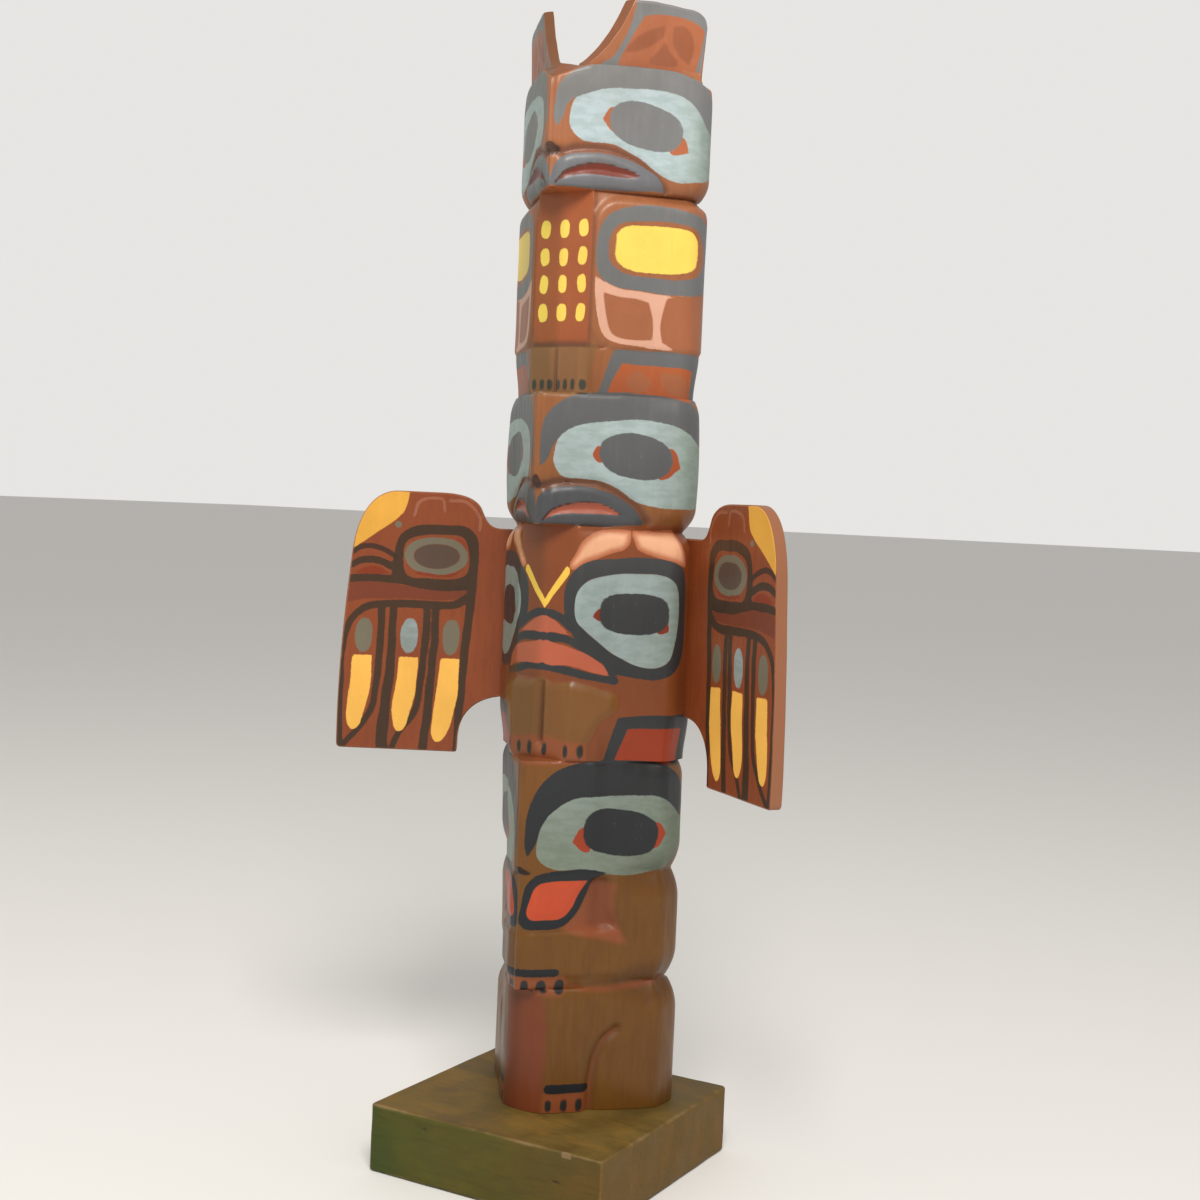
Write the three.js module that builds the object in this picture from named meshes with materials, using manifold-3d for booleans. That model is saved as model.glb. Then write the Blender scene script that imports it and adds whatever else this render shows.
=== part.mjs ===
// Carved and painted model totem pole with two wings, on a square wooden plinth.
// Millimetres, +Z up, front towards -Y. The origin is the centre of the plinth's underside.
//
// The pole is one carved log. Its plan at every height is a rounded wedge: a ridge at the front, two flat
// flanks, and a rounded back. A surface point is named by its column round the log and its height, and the
// carving is a relief in two coordinates: s, the distance round the log from the front ridge, and z.
import * as THREE from 'three';
import { mergeVertices } from 'three/addons/utils/BufferGeometryUtils.js';
import Module from 'manifold-3d';

const wasm = await Module();
wasm.setup();

// ---- Driving dimensions ------------------------------------------------------------------------------
const GAP = 0.3; // air between touching pieces
const CORE_Y = 6; // middle of the log, where its two ends are fanned together

const PLINTH = { side: 148.6, height: 38, turn: 3.54, corner: 1.6, edge: 0.8 };

const LOG = {
  foot: PLINTH.height + GAP,
  crown: 603,
  ridgeY: -47,
  flankAngle: [41.5, 45], // half angle of the wedge in degrees, at the foot and above
  halfWidth: [57.8, 59.4], // at the foot and above
  swell: [100, 260], // heights between which the wedge opens to its full size
  backY: [50, 38.5], // at the foot and above
  backTaper: [60, 420], // heights between which the back draws in
  cheekRadius: 12, // between flank and side
  backRadius: 18, // between side and back
};

// Heights where one figure ends and the next begins.
const LEVEL = {
  paws: 108,
  chin3: 173,
  brow3: 235,
  talons: 244,
  legsTop: 279,
  chin2: 364,
  brow2: 436,
  feetTop: 460,
  chin1: 545.5,
};

// How far forward the wood reaches between the flanks, for the figures cut flat across the ridge.
const FRONT = { thighs: -33.5, talons: -30.5, bird: -30, feet: -31, belly: -26.2 };

// How softly those flat fronts run into the flanks.
const THIGH_ROUNDING = 8;
const FRONT_ROUNDING = 1.2;

// One entry a head. eye is the height of the eye's middle, lip that of the lower lip, null for the beast
// that shows a tongue in place of lips.
const HEADS = [
  { eye: 195, lip: null },
  { eye: 403, lip: 365 },
  { eye: 581, lip: 546 },
];

const EAR = {
  recess: [5, 3.2], // inside the flank's plane, at the root and at the top
  thickness: 6.5, // across X
  floor: 612.5, // floor of the notch between the ears
  top: 648.5,
  frontFoot: 22,
  frontTop: 46,
  backTop: 87,
  backFoot: 83.5,
};

const WING = {
  sweep: 33.54, // degrees forward of the pole's side, in plan
  faceDistance: 53.2, // from the pole's axis to the plane of the front face
  thickness: 7,
  inner: 12, // where the neck's inner end stops, behind the pole's back corner
  neckEnd: 38.6,
  neckBottom: 259.6,
  neckTop: 359.4,
  tip: 139.6,
  bottom: 225,
  top: 379.4,
};

// ---- Small helpers -------------------------------------------------------------------------------------
const rad = THREE.MathUtils.degToRad;
const mix = THREE.MathUtils.lerp;
const ease = (from, to, value) => THREE.MathUtils.smoothstep(value, Math.min(from, to), Math.max(from, to));
// 0 at from, 1 at to, whichever of the two is the larger.
const rise = (from, to, value) => (from < to ? ease(from, to, value) : 1 - ease(to, from, value));
// 1 at no distance, falling to 0 at the reach.
const bump = (distance, reach) => Math.max(0, 1 - (distance / reach) ** 2);
// A knife-cut groove: sharp at its bottom, easing out to the surface at its reach.
const notch = (distance, reach) => Math.max(0, 1 - Math.abs(distance) / reach) ** 2;
// The larger of two values, with the corner between them rounded off.
const softMax = (a, b, radius) => Math.max(a, b) + Math.max(radius - Math.abs(a - b), 0) ** 2 / (4 * radius);
const oval = (s, z, centreS, centreZ, halfS, halfZ) => bump(Math.hypot((s - centreS) / halfS, (z - centreZ) / halfZ), 1);

// Distance outside a rectangle with rounded corners; negative inside.
function outsideBox(s, z, [s0, s1], [z0, z1], radius) {
  const ds = Math.abs(s - (s0 + s1) / 2) - (s1 - s0) / 2 + radius;
  const dz = Math.abs(z - (z0 + z1) / 2) - (z1 - z0) / 2 + radius;
  return Math.hypot(Math.max(ds, 0), Math.max(dz, 0)) + Math.min(Math.max(ds, dz), 0) - radius;
}

// ---- The log's plan ------------------------------------------------------------------------------------
function plan(z) {
  const opened = rise(...LOG.swell, z);
  const angle = rad(mix(...LOG.flankAngle, opened));
  const width = mix(...LOG.halfWidth, opened);
  const back = mix(...LOG.backY, rise(...LOG.backTaper, z));
  const flankX = width - LOG.cheekRadius * (1 - Math.cos(angle));
  const flankLength = flankX / Math.sin(angle);
  const cheekY = LOG.ridgeY + flankX / Math.tan(angle) + LOG.cheekRadius * Math.sin(angle);
  const cheekEnd = flankLength + LOG.cheekRadius * angle;
  return { angle, width, back, flankLength, cheekY, cheekEnd, sideEnd: cheekEnd + back - LOG.backRadius - cheekY };
}

// The columns of the right half, from the front ridge to the middle of the back: a stretch of the plan and
// how far along it.
const FLANK_COLUMNS = [0, 3, 8.5, 14, 19, 24.5, 28, 34, 41, 48, 55, 62, 69, 78.5].map((s) => ['flank', s / 78.5]);
const COLUMNS = [
  ...FLANK_COLUMNS, ['cheek', 0.5], ['cheek', 1], ['side', 1],
  ['turn', 1 / 3], ['turn', 2 / 3], ['turn', 1], ['back', 0.5], ['back', 1],
];

// A point of the log's bare surface, its outward normal and its s.
function logPoint([stretch, t], z) {
  const p = plan(z);
  const turnY = p.back - LOG.backRadius;
  if (stretch === 'flank') {
    const s = t * p.flankLength;
    return {
      x: s * Math.sin(p.angle), y: LOG.ridgeY + s * Math.cos(p.angle), s,
      nx: Math.cos(p.angle), ny: -Math.sin(p.angle),
    };
  }
  if (stretch === 'cheek') {
    const a = p.angle * (1 - t);
    const inset = LOG.cheekRadius * (1 - Math.cos(a));
    const s = p.flankLength + LOG.cheekRadius * (p.angle - a);
    return { x: p.width - inset, y: p.cheekY - LOG.cheekRadius * Math.sin(a), s, nx: Math.cos(a), ny: -Math.sin(a) };
  }
  if (stretch === 'side') {
    return { x: p.width, y: mix(p.cheekY, turnY, t), s: mix(p.cheekEnd, p.sideEnd, t), nx: 1, ny: 0 };
  }
  if (stretch === 'turn') {
    const a = t * Math.PI / 2;
    const r = LOG.backRadius;
    return {
      x: p.width - r + r * Math.cos(a), y: turnY + r * Math.sin(a), s: p.sideEnd + r * a,
      nx: Math.cos(a), ny: Math.sin(a),
    };
  }
  const turned = p.sideEnd + LOG.backRadius * Math.PI / 2;
  const flat = p.width - LOG.backRadius;
  return { x: flat * (1 - t), y: p.back, s: turned + flat * t, nx: 0, ny: 1 };
}

// ---- Carving: height above the bare log, in millimetres --------------------------------------------------
// The groove over the lips and the mouth's slot; eyes and brows are flat paint.
function headRelief(s, z, { lip }) {
  if (lip === null || s >= 68) return 0;
  const groove = lip + 21 - 16 * ((s - 24) / 41) ** 2;
  const mouth = lip + 10 - 8 * ((s - 29) / 26) ** 2;
  const slot = s > 3 && s < 55 ? 2 * notch(z - mouth, 5) : 0;
  return -2.2 * notch(z - groove, 6) - slot;
}

// The grooves that part one figure from the next, deeper round the cheeks than on the flanks.
function grooveRelief(s, z) {
  const cheek = rise(50, 82, s) * rise(150, 125, s);
  const flank = rise(20, 34, s) * rise(150, 125, s);
  const { paws, chin3, brow3, chin2, brow2, chin1 } = LEVEL;
  const underBrow = (level) => (z < level ? notch(level - z, 10) : 0);
  return -(1.6 * flank + 3 * cheek) * notch(z - chin1, mix(7, 11, cheek))
    - (1.8 * flank + 4.6 * cheek) * notch(z - (chin2 - 1.5), mix(7, 13, cheek))
    - 4.8 * cheek * notch(z - (chin3 - 1), 17)
    - (1.5 * flank + 4.6 * cheek) * notch(z - (paws + 1), mix(9, 18, cheek))
    - cheek * (3.2 * underBrow(brow3) + 2.2 * underBrow(brow2))
    + 1.8 * cheek * bump(z - mix(chin2, brow2, 0.5), 36);
}

// Upper figure's arms stand out as rounded panels; the lower beast's ears are sunk under them.
function armRelief(s, z) {
  if (z > LEVEL.chin1 || z < LEVEL.brow2) return 0;
  const outside = outsideBox(s, z, [29, 400], [LEVEL.feetTop + 1.5, 540.5], 14);
  if (z > LEVEL.feetTop + 1.5) return -2.4 * rise(0, 3, outside) * rise(24, 29, s);
  const sink = mix(3.2, 1, rise(LEVEL.brow2, LEVEL.feetTop, z));
  return -sink * rise(27, 32, s) * rise(150, 125, s);
}

// The bird's legs bulge over its talons, with the ears of the beast below sunk beside them.
function birdRelief(s, z) {
  if (z > LEVEL.chin2 || z < LEVEL.brow3) return 0;
  const legEdge = mix(36, 53, ease(LEVEL.talons, 266, z));
  const legs = 1.6 * rise(legEdge + 2, legEdge - 5, s) * rise(LEVEL.legsTop + 2, LEVEL.legsTop - 7, z);
  const split = 2.6 * bump(s, 3.5) * rise(239, 245, z) * rise(275, 268, z);
  const ears = 2.4 * rise(259, 236, z) * rise(40, 50, s) * rise(150, 125, s);
  return legs - split - ears;
}

// The lowest beast: hollow beside its tongue, a forearm to the paw, a round shoulder, then thigh and haunch.
function beastRelief(s, z) {
  if (z > LEVEL.chin3 + 3) return 0;
  const shoulderEdge = mix(66, 58, ease(132, 156, z));
  const hollow = 2.8 * rise(139, 144, z) * rise(172, 166, z) * rise(34, 44, s) * rise(shoulderEdge, shoulderEdge - 8, s);
  const forearm = 1.2 * rise(140, 137, z) * rise(112, 118, z) * rise(74, 50, s);
  const tongue = 0.9 * oval(s, z, 23, 157, 24, 17);
  const crease = 48 + 14 * ((z - 40) / 43) ** 3;
  const creased = z < 86 ? 2 * notch(s - crease, 6) : 0;
  const haunch = z < LEVEL.paws ? 1.2 * rise(crease - 2, crease + 10, s) * rise(150, 125, s) : 0;
  return forearm + tongue + haunch - hollow - creased;
}

function relief(s, z) {
  const heads = HEADS.reduce((sum, head) => sum + headRelief(s, z, head), 0);
  return heads + grooveRelief(s, z) + armRelief(s, z) + birdRelief(s, z) + beastRelief(s, z);
}

// Lowest y that the wood has at this height and distance from the middle: the ridge is cut back to the
// flat fronts of belly, feet, bird and thighs, and steps in under each nose.
function frontLimit(x, z) {
  const { paws, brow3, legsTop, chin2, brow2, feetTop, chin1 } = LEVEL;
  if (z < paws) return FRONT.thighs;
  if (z < brow3) return LOG.ridgeY;
  if (z < legsTop) return FRONT.talons + 2.5 * (x / 26) ** 2 + 2.2 * bump(x, 3) * rise(239, 245, z);
  if (z < chin2) return FRONT.bird + 3 * (x / 20) ** 2;
  if (z < brow2) return LOG.ridgeY;
  if (z < feetTop) return FRONT.feet + 1.6 * bump(x, 2.5);
  if (z < chin1) return FRONT.belly + (Math.abs(x) > 19.2 ? -1.2 : 0);
  return LOG.ridgeY;
}

// The nose stands over the lips: how far the ridge is cut back below it.
function underNose(z) {
  return HEADS.reduce((cut, { lip, eye }) => {
    const nostril = lip === null ? eye - 20 : lip + 22;
    const chin = lip === null ? LEVEL.paws : lip;
    return z > chin && z < nostril ? 2.4 * rise(nostril, nostril - 3, z) : cut;
  }, 0);
}

function carvedPoint(column, z) {
  const bare = logPoint(column, z);
  const h = relief(bare.s, z);
  const x = bare.x + bare.nx * h * rise(0, 8, bare.s);
  const y = bare.y + bare.ny * h * rise(0, 8, bare.s);
  const ridge = 1.6 * bump(bare.x, 3);
  const nose = underNose(z) * rise(12, 4, bare.s);
  const rounding = z < LEVEL.paws ? THIGH_ROUNDING : FRONT_ROUNDING;
  return [x, softMax(y + ridge + nose, frontLimit(bare.x, z), rounding)];
}

// ---- The pole's skin ---------------------------------------------------------------------------------
// Rows of each figure between its two edges; a pair of rows 1 mm apart makes each ledge crisp.
function rowHeights() {
  const L = LEVEL;
  const stretches = [
    [LOG.foot, L.paws - 1, 8], [L.paws, L.chin3, 12], [L.chin3 + 3, L.brow3 - 1, 11], [L.brow3, L.legsTop, 9],
    [L.legsTop + 5, L.chin2 - 1, 9], [L.chin2, L.brow2 - 1, 13], [L.brow2, L.feetTop, 4],
    [L.feetTop + 1.5, L.chin1 - 6, 9], [L.chin1 - 3, L.chin1 - 1, 1], [L.chin1, 595, 12],
  ];
  return stretches.flatMap(([low, high, steps]) => (
    Array.from({ length: steps + 1 }, (_, i) => mix(low, high, i / steps))
  ));
}

// The crown's edge rises from the ridge to the brow and falls again behind the cheek.
const crownEdge = (s) => mix(LOG.crown, 613, rise(-6, 30, s)) - 6 * rise(66, 92, s);

// Closed skin of the pole without its ears.
function poleSkin() {
  const half = COLUMNS.length - 1;
  const ring = [...COLUMNS.map((c) => [c, 1]), ...COLUMNS.slice(1, half).reverse().map((c) => [c, -1])];
  const heights = rowHeights();
  const crownStart = heights[heights.length - 1];
  const row = (height) => ring.map(([column, side]) => {
    const [x, y] = carvedPoint(column, height);
    return [side * x, y, height];
  });
  // Above the last level row the rows rise to the crown's edge; the last ring is drawn in to the notch's floor.
  const crownRow = (t, scale) => ring.map(([column, side]) => {
    const { s } = logPoint(column, crownStart);
    const [x, y] = carvedPoint(column, crownStart);
    return [side * x * scale, CORE_Y + (y - CORE_Y) * scale, mix(crownStart, crownEdge(s), t)];
  });
  const floorRow = (scale) => crownRow(1, scale).map(([x, y]) => [x, y, EAR.floor]);
  const rows = [...heights.map(row), crownRow(0.55, 0.995), crownRow(1, 0.965), floorRow(0.86), floorRow(0.4)];
  return closedLoft(rows, [0, CORE_Y, LOG.foot], [0, CORE_Y, EAR.floor]);
}

// Joins rows of equal length into a closed skin, with a fan over each end.
function closedLoft(rows, bottom, top) {
  const n = rows[0].length;
  const points = [...rows.flat(), bottom, top];
  const faces = [];
  for (let r = 0; r + 1 < rows.length; r += 1) {
    for (let c = 0; c < n; c += 1) {
      const [a, b] = [r * n + c, r * n + (c + 1) % n];
      faces.push(a, b, b + n, a, b + n, a + n);
    }
  }
  const low = rows.length * n;
  const last = (rows.length - 1) * n;
  for (let c = 0; c < n; c += 1) {
    faces.push(low, (c + 1) % n, c, low + 1, last + c, last + (c + 1) % n);
  }
  const geometry = new THREE.BufferGeometry();
  geometry.setAttribute('position', new THREE.Float32BufferAttribute(points.flat(), 3));
  geometry.setIndex(faces);
  return geometry;
}

// ---- Ears ----------------------------------------------------------------------------------------------
// Outline of an ear in the plane of its outer face: s along the flank, z up. The front edge sweeps up out of
// the notch, the top is level with a rounded back corner, and the back edge leans out a little.
function earOutline() {
  const { floor, top, frontFoot, frontTop, backTop, backFoot } = EAR;
  const root = floor - 12;
  const shape = new THREE.Shape();
  shape.moveTo(frontFoot, root);
  shape.lineTo(backFoot, root);
  shape.lineTo(backTop - 0.4, top - 11);
  shape.quadraticCurveTo(backTop, top - 4, backTop - 9, top - 2.4);
  shape.lineTo(frontTop + 12, top);
  shape.lineTo(frontTop, top);
  shape.quadraticCurveTo(frontTop - 10, top - 25, frontFoot, floor + 0.6);
  return shape;
}

// The outline is extruded straight across X, so the front edge faces forward.
function earGeometry(side) {
  const geometry = new THREE.ExtrudeGeometry(earOutline(), { depth: 1, bevelEnabled: false, curveSegments: 7 });
  const a = rad(LOG.flankAngle[1]);
  const [rootRecess, topRecess] = EAR.recess;
  const lean = (rootRecess - topRecess) / (EAR.top - EAR.floor);
  const inward = rootRecess + lean * EAR.floor; // recess carried down to z = 0
  const along = new THREE.Vector3(Math.sin(a), Math.cos(a), 0);
  const up = new THREE.Vector3(lean * Math.cos(a), -lean * Math.sin(a), 1);
  const across = new THREE.Vector3(EAR.thickness, 0, 0);
  const place = new THREE.Matrix4().makeBasis(along, up, across);
  place.setPosition(-inward * Math.cos(a) - EAR.thickness, LOG.ridgeY + inward * Math.sin(a), 0);
  geometry.applyMatrix4(place);
  if (side < 0) mirrorAcrossX(geometry);
  return geometry;
}

function mirrorAcrossX(geometry) {
  geometry.scale(-1, 1, 1);
  if (!geometry.index) geometry.setIndex(Array.from({ length: geometry.attributes.position.count }, (_, i) => i));
  const index = geometry.index.array;
  for (let i = 0; i < index.length; i += 3) [index[i], index[i + 1]] = [index[i + 1], index[i]];
}

// ---- Wings ---------------------------------------------------------------------------------------------
// Outline in the plane of the board: u away from the pole, z up.
function wingOutline() {
  const { inner, neckEnd, neckBottom, neckTop, tip, bottom, top } = WING;
  const shape = new THREE.Shape();
  shape.moveTo(inner, neckBottom);
  shape.lineTo(neckEnd, neckBottom);
  shape.bezierCurveTo(neckEnd + 16, neckBottom - 0.4, 67, neckBottom - 9, 67.4, bottom + 8);
  shape.lineTo(67.6, bottom);
  shape.lineTo(tip - 2, bottom);
  shape.quadraticCurveTo(tip, bottom, tip, bottom + 2);
  shape.bezierCurveTo(tip + 0.6, bottom + 44, tip - 2, bottom + 82, tip - 5.7, top - 36.5);
  shape.bezierCurveTo(tip - 7.6, top - 18, tip - 15, top, tip - 32.6, top);
  shape.lineTo(82, top);
  shape.bezierCurveTo(70, top, 62, top - 2.6, 58.6, top - 8.2);
  shape.bezierCurveTo(55.5, neckTop + 5, 54, neckTop, neckEnd + 7, neckTop);
  shape.lineTo(inner, neckTop);
  return shape;
}

// Places a shape drawn in (u, z) with its depth running away behind the wing's front face.
function inWingPlane(geometry, side, setBack) {
  const a = rad(WING.sweep);
  const outward = new THREE.Vector3(Math.cos(a), -Math.sin(a), 0);
  const behind = new THREE.Vector3(Math.sin(a), Math.cos(a), 0);
  const place = new THREE.Matrix4().makeBasis(outward, new THREE.Vector3(0, 0, 1), behind.clone().negate());
  place.setPosition(behind.multiplyScalar(WING.faceDistance + setBack));
  geometry.applyMatrix4(place);
  if (side < 0) mirrorAcrossX(geometry);
  return geometry;
}

function wingGeometry(side) {
  const geometry = new THREE.ExtrudeGeometry(wingOutline(), {
    depth: WING.thickness - 1, bevelThickness: 0.5, bevelSize: 0.5, bevelOffset: -0.5, bevelSegments: 1, curveSegments: 8,
  });
  return inWingPlane(geometry, side, GAP + WING.thickness - 0.5);
}

// The flat cut on the pole's back corner that the wing's neck is fastened to.
function rebateGeometry(side) {
  const { neckBottom, neckTop } = WING;
  const shape = new THREE.Shape();
  shape.moveTo(-60, neckBottom - GAP);
  shape.lineTo(80, neckBottom - GAP);
  shape.lineTo(80, neckTop + GAP);
  shape.lineTo(-60, neckTop + GAP);
  const depth = 60;
  return inWingPlane(new THREE.ExtrudeGeometry(shape, { depth, bevelEnabled: false }), side, depth);
}

// ---- Solids --------------------------------------------------------------------------------------------
function solid(geometry) {
  const bare = geometry.clone();
  bare.deleteAttribute('normal');
  bare.deleteAttribute('uv');
  const merged = mergeVertices(bare, 1e-4);
  return new wasm.Manifold(new wasm.Mesh({
    numProp: 3,
    vertProperties: new Float32Array(merged.attributes.position.array),
    triVerts: new Uint32Array(merged.index.array),
  }));
}

function geometryOf(body) {
  const mesh = body.getMesh();
  const geometry = new THREE.BufferGeometry();
  geometry.setAttribute('position', new THREE.BufferAttribute(mesh.vertProperties, 3));
  geometry.setIndex(new THREE.BufferAttribute(mesh.triVerts, 1));
  return geometry;
}

function poleGeometry() {
  let body = solid(poleSkin());
  for (const side of [1, -1]) {
    body = body.add(solid(earGeometry(side))).subtract(solid(rebateGeometry(side)));
  }
  return geometryOf(body);
}

function plinthGeometry() {
  const { side, height, turn, corner, edge } = PLINTH;
  const h = side / 2 - edge;
  const shape = new THREE.Shape();
  shape.moveTo(-h + corner, -h);
  for (const [x, y] of [[1, -1], [1, 1], [-1, 1], [-1, -1]]) {
    const alongX = x * y < 0; // this corner is reached along X
    shape.lineTo(x * (alongX ? h - corner : h), y * (alongX ? h : h - corner));
    shape.quadraticCurveTo(x * h, y * h, x * (alongX ? h : h - corner), y * (alongX ? h - corner : h));
  }
  const geometry = new THREE.ExtrudeGeometry(shape, {
    depth: height - 2 * edge, bevelThickness: edge, bevelSize: edge, bevelSegments: 2, curveSegments: 3,
  });
  geometry.translate(0, 0, edge);
  geometry.rotateZ(rad(turn));
  return geometry;
}

// ---- The object ------------------------------------------------------------------------------------------
const paintedWood = new THREE.MeshStandardMaterial({ color: 0x7a4a2e, roughness: 0.5, metalness: 0 });
const wingWood = new THREE.MeshStandardMaterial({ color: 0x70301c, roughness: 0.5, metalness: 0 });
const stainedWood = new THREE.MeshStandardMaterial({ color: 0x5f5a2a, roughness: 0.6, metalness: 0 });

function named(name, geometry, material) {
  const mesh = new THREE.Mesh(geometry, material);
  mesh.name = name;
  return mesh;
}

const totemPole = new THREE.Group();
totemPole.add(
  named('plinth', plinthGeometry(), stainedWood),
  named('pole', poleGeometry(), paintedWood),
  named('wing_right', wingGeometry(1), wingWood),
  named('wing_left', wingGeometry(-1), wingWood),
);

export default totemPole;
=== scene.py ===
"""Carved and painted model totem pole with board wings on a stained plinth: its looks.

Shapes are worked out in millimetres and made in metres. The pole's surface is named by s, the distance round
the log from the front ridge, and z, the height. A wing's face is named by u, away from the pole, and z.
"""

from math import cos, pi, radians, sin

import bpy
import numpy as np
from mathutils import Matrix
from mathutils.geometry import delaunay_2d_cdt


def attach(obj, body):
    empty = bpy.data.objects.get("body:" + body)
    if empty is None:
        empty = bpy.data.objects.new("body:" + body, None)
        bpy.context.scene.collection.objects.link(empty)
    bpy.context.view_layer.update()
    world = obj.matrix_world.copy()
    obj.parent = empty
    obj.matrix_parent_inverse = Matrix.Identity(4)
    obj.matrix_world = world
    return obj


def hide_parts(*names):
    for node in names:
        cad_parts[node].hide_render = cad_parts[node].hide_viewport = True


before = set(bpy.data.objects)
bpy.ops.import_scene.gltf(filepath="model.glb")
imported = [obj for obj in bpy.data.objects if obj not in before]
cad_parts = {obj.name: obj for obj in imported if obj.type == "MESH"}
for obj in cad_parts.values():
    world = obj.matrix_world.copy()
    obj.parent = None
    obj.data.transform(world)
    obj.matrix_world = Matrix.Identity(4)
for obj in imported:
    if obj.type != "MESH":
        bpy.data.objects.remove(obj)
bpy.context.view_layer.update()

MM = 0.001
FAR = 8.0  # distances from a colour's edge are kept up to this


# ---- Small helpers ---------------------------------------------------------------------------------------
def mix(a, b, t):
    return a + (b - a) * t


def rise(start, end, value):
    """0 at start, 1 at end, smooth between, whichever of the two is the larger."""
    t = np.clip((value - start) / (end - start), 0.0, 1.0)
    return t * t * (3.0 - 2.0 * t)


def bump(distance, reach):
    return np.maximum(0.0, 1.0 - (distance / reach) ** 2)


def notch(distance, reach):
    """A knife-cut groove: sharp at its bottom, easing out to the surface at its reach."""
    return np.maximum(0.0, 1.0 - np.abs(distance) / reach) ** 2


def soft_max(a, b, radius):
    """The larger of two values, with the corner between them rounded off."""
    return np.maximum(a, b) + np.maximum(radius - np.abs(a - b), 0.0) ** 2 / (4 * radius)


def ripple(points, length, seed):
    """Smooth waves about -1 to 1 with roughly this wavelength, the same for the same seed."""
    rng = np.random.default_rng(seed)
    total = np.zeros(len(points))
    for _ in range(6):
        direction = rng.normal(size=3)
        direction *= 2 * pi / (length * rng.uniform(0.7, 1.5) * np.linalg.norm(direction))
        total += np.sin(points @ direction + rng.uniform(0, 2 * pi))
    return total / 3.0


# ---- Drawn shapes ----------------------------------------------------------------------------------------
def curve(points, closed):
    """Smooth line through the points. A point with a third value is a corner."""
    p = np.array([q[:2] for q in points], float)
    corner = [len(q) == 3 for q in points]
    n = len(p)
    t = np.linspace(0, 1, 6, endpoint=False)[:, None]
    blend = (2 * t**3 - 3 * t**2 + 1, t**3 - 2 * t**2 + t, 3 * t**2 - 2 * t**3, t**3 - t**2)
    out = []
    for i in range(n if closed else n - 1):
        j = (i + 1) % n
        chord = p[j] - p[i]
        length = np.hypot(*chord)
        leave = chord
        arrive = chord
        if not corner[i] and (closed or i > 0):
            leave = p[j] - p[i - 1]
            leave = leave * length / np.hypot(*leave)
        if not corner[j] and (closed or j < n - 1):
            arrive = p[(j + 1) % n] - p[i]
            arrive = arrive * length / np.hypot(*arrive)
        out.append(blend[0] * p[i] + blend[1] * leave + blend[2] * p[j] + blend[3] * arrive)
    if not closed:
        out.append(p[-1:])
    return np.concatenate(out)


def from_line(q, line, closed):
    """Distance of each place from the line, how far along it, and whether it is inside a closed one."""
    ends = np.roll(line, -1, axis=0) if closed else line[1:]
    best = np.full(len(q), 1e9)
    along = np.zeros(len(q))
    inside = np.zeros(len(q), bool)
    for k, (a, b) in enumerate(zip(line, ends)):
        d = b - a
        w = q - a
        t = np.clip(w @ d / max(d @ d, 1e-9), 0, 1)
        gap = (w[:, 0] - t * d[0]) ** 2 + (w[:, 1] - t * d[1]) ** 2
        closer = gap < best
        best[closer] = gap[closer]
        along[closer] = (k + t[closer]) / len(ends)
        if closed:
            spans = (a[1] > q[:, 1]) != (b[1] > q[:, 1])
            inside ^= spans & (
                w[:, 0] * d[1] < w[:, 1] * d[0]
            ) if d[1] > 0 else spans & (w[:, 0] * d[1] > w[:, 1] * d[0])
    return np.sqrt(best), along, inside


class Surface:
    """Places on a painted surface and how far each is from the edge of every colour: negative is painted."""

    def __init__(self, across, height, half=1.0):
        self.q = np.stack([across, height], axis=1)
        self.half = half
        self.colours = {}

    def left_and_right(self):
        """The same surface and colours with s negative on the left half, for what isn't the same on both."""
        other = Surface(self.q[:, 0] * self.half, self.q[:, 1])
        other.colours = self.colours
        return other

    def put(self, colour, distance):
        if colour:
            before = self.colours.get(colour, np.full(len(self.q), FAR))
            self.colours[colour] = np.minimum(before, distance)
        return distance

    def near(self, line, margin):
        low, high = line.min(axis=0) - margin, line.max(axis=0) + margin
        return np.all((self.q > low) & (self.q < high), axis=1)

    def area(self, colour, points, without=None):
        """A closed shape drawn through the points."""
        line = curve(points, True)
        near = self.near(line, FAR)
        distance, _, inside = from_line(self.q[near], line, True)
        out = np.full(len(self.q), FAR)
        out[near] = np.clip(np.where(inside, -distance, distance), -FAR, FAR)
        if without is not None:
            out = np.maximum(out, -without)
        return self.put(colour, out)

    def stroke(self, colour, points, width, end_width=None):
        """A line of the brush, as wide at its end as end_width."""
        line = curve(points, False)
        near = self.near(line, FAR)
        distance, along, _ = from_line(self.q[near], line, False)
        last = width if end_width is None else end_width
        out = np.full(len(self.q), FAR)
        out[near] = np.clip(distance - mix(width, last, along) / 2, -FAR, FAR)
        return self.put(colour, out)

    def ovoid(self, colour, centre, half, tilt=0.0, square=2.3):
        """An oval, squarer with a higher power, turned by tilt degrees."""
        x, y = (self.q - centre).T
        c, s = cos(radians(tilt)), sin(radians(tilt))
        a = np.abs(c * x + s * y) / half[0]
        b = np.abs(c * y - s * x) / half[1]
        reach = (a**square + b**square) ** (1 / square)
        return self.put(colour, np.clip((reach - 1) * min(half), -FAR, FAR))


# ---- The log's plan --------------------------------------------------------------------------------------
FOOT = 38.3
CROWN = 603.0
RIDGE_Y = -47.0
CORE_Y = 6.0
CHEEK_RADIUS = 12.0
BACK_RADIUS = 18.0

PAWS, CHIN_3, BROW_3, LEGS_TOP = 107.5, 173.0, 235.0, 279.0
CHIN_2, BROW_2, FEET_TOP, CHIN_1 = 364.0, 436.0, 461.0, 545.5

FLANK = np.linspace(0, 1, 61)
CHEEK = np.linspace(0, 1, 13)[1:]
SIDE = np.linspace(0, 1, 4)[1:]
TURN = np.linspace(0, 1, 10)[1:]
BACK = np.linspace(0, 1, 11)[1:]


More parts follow.
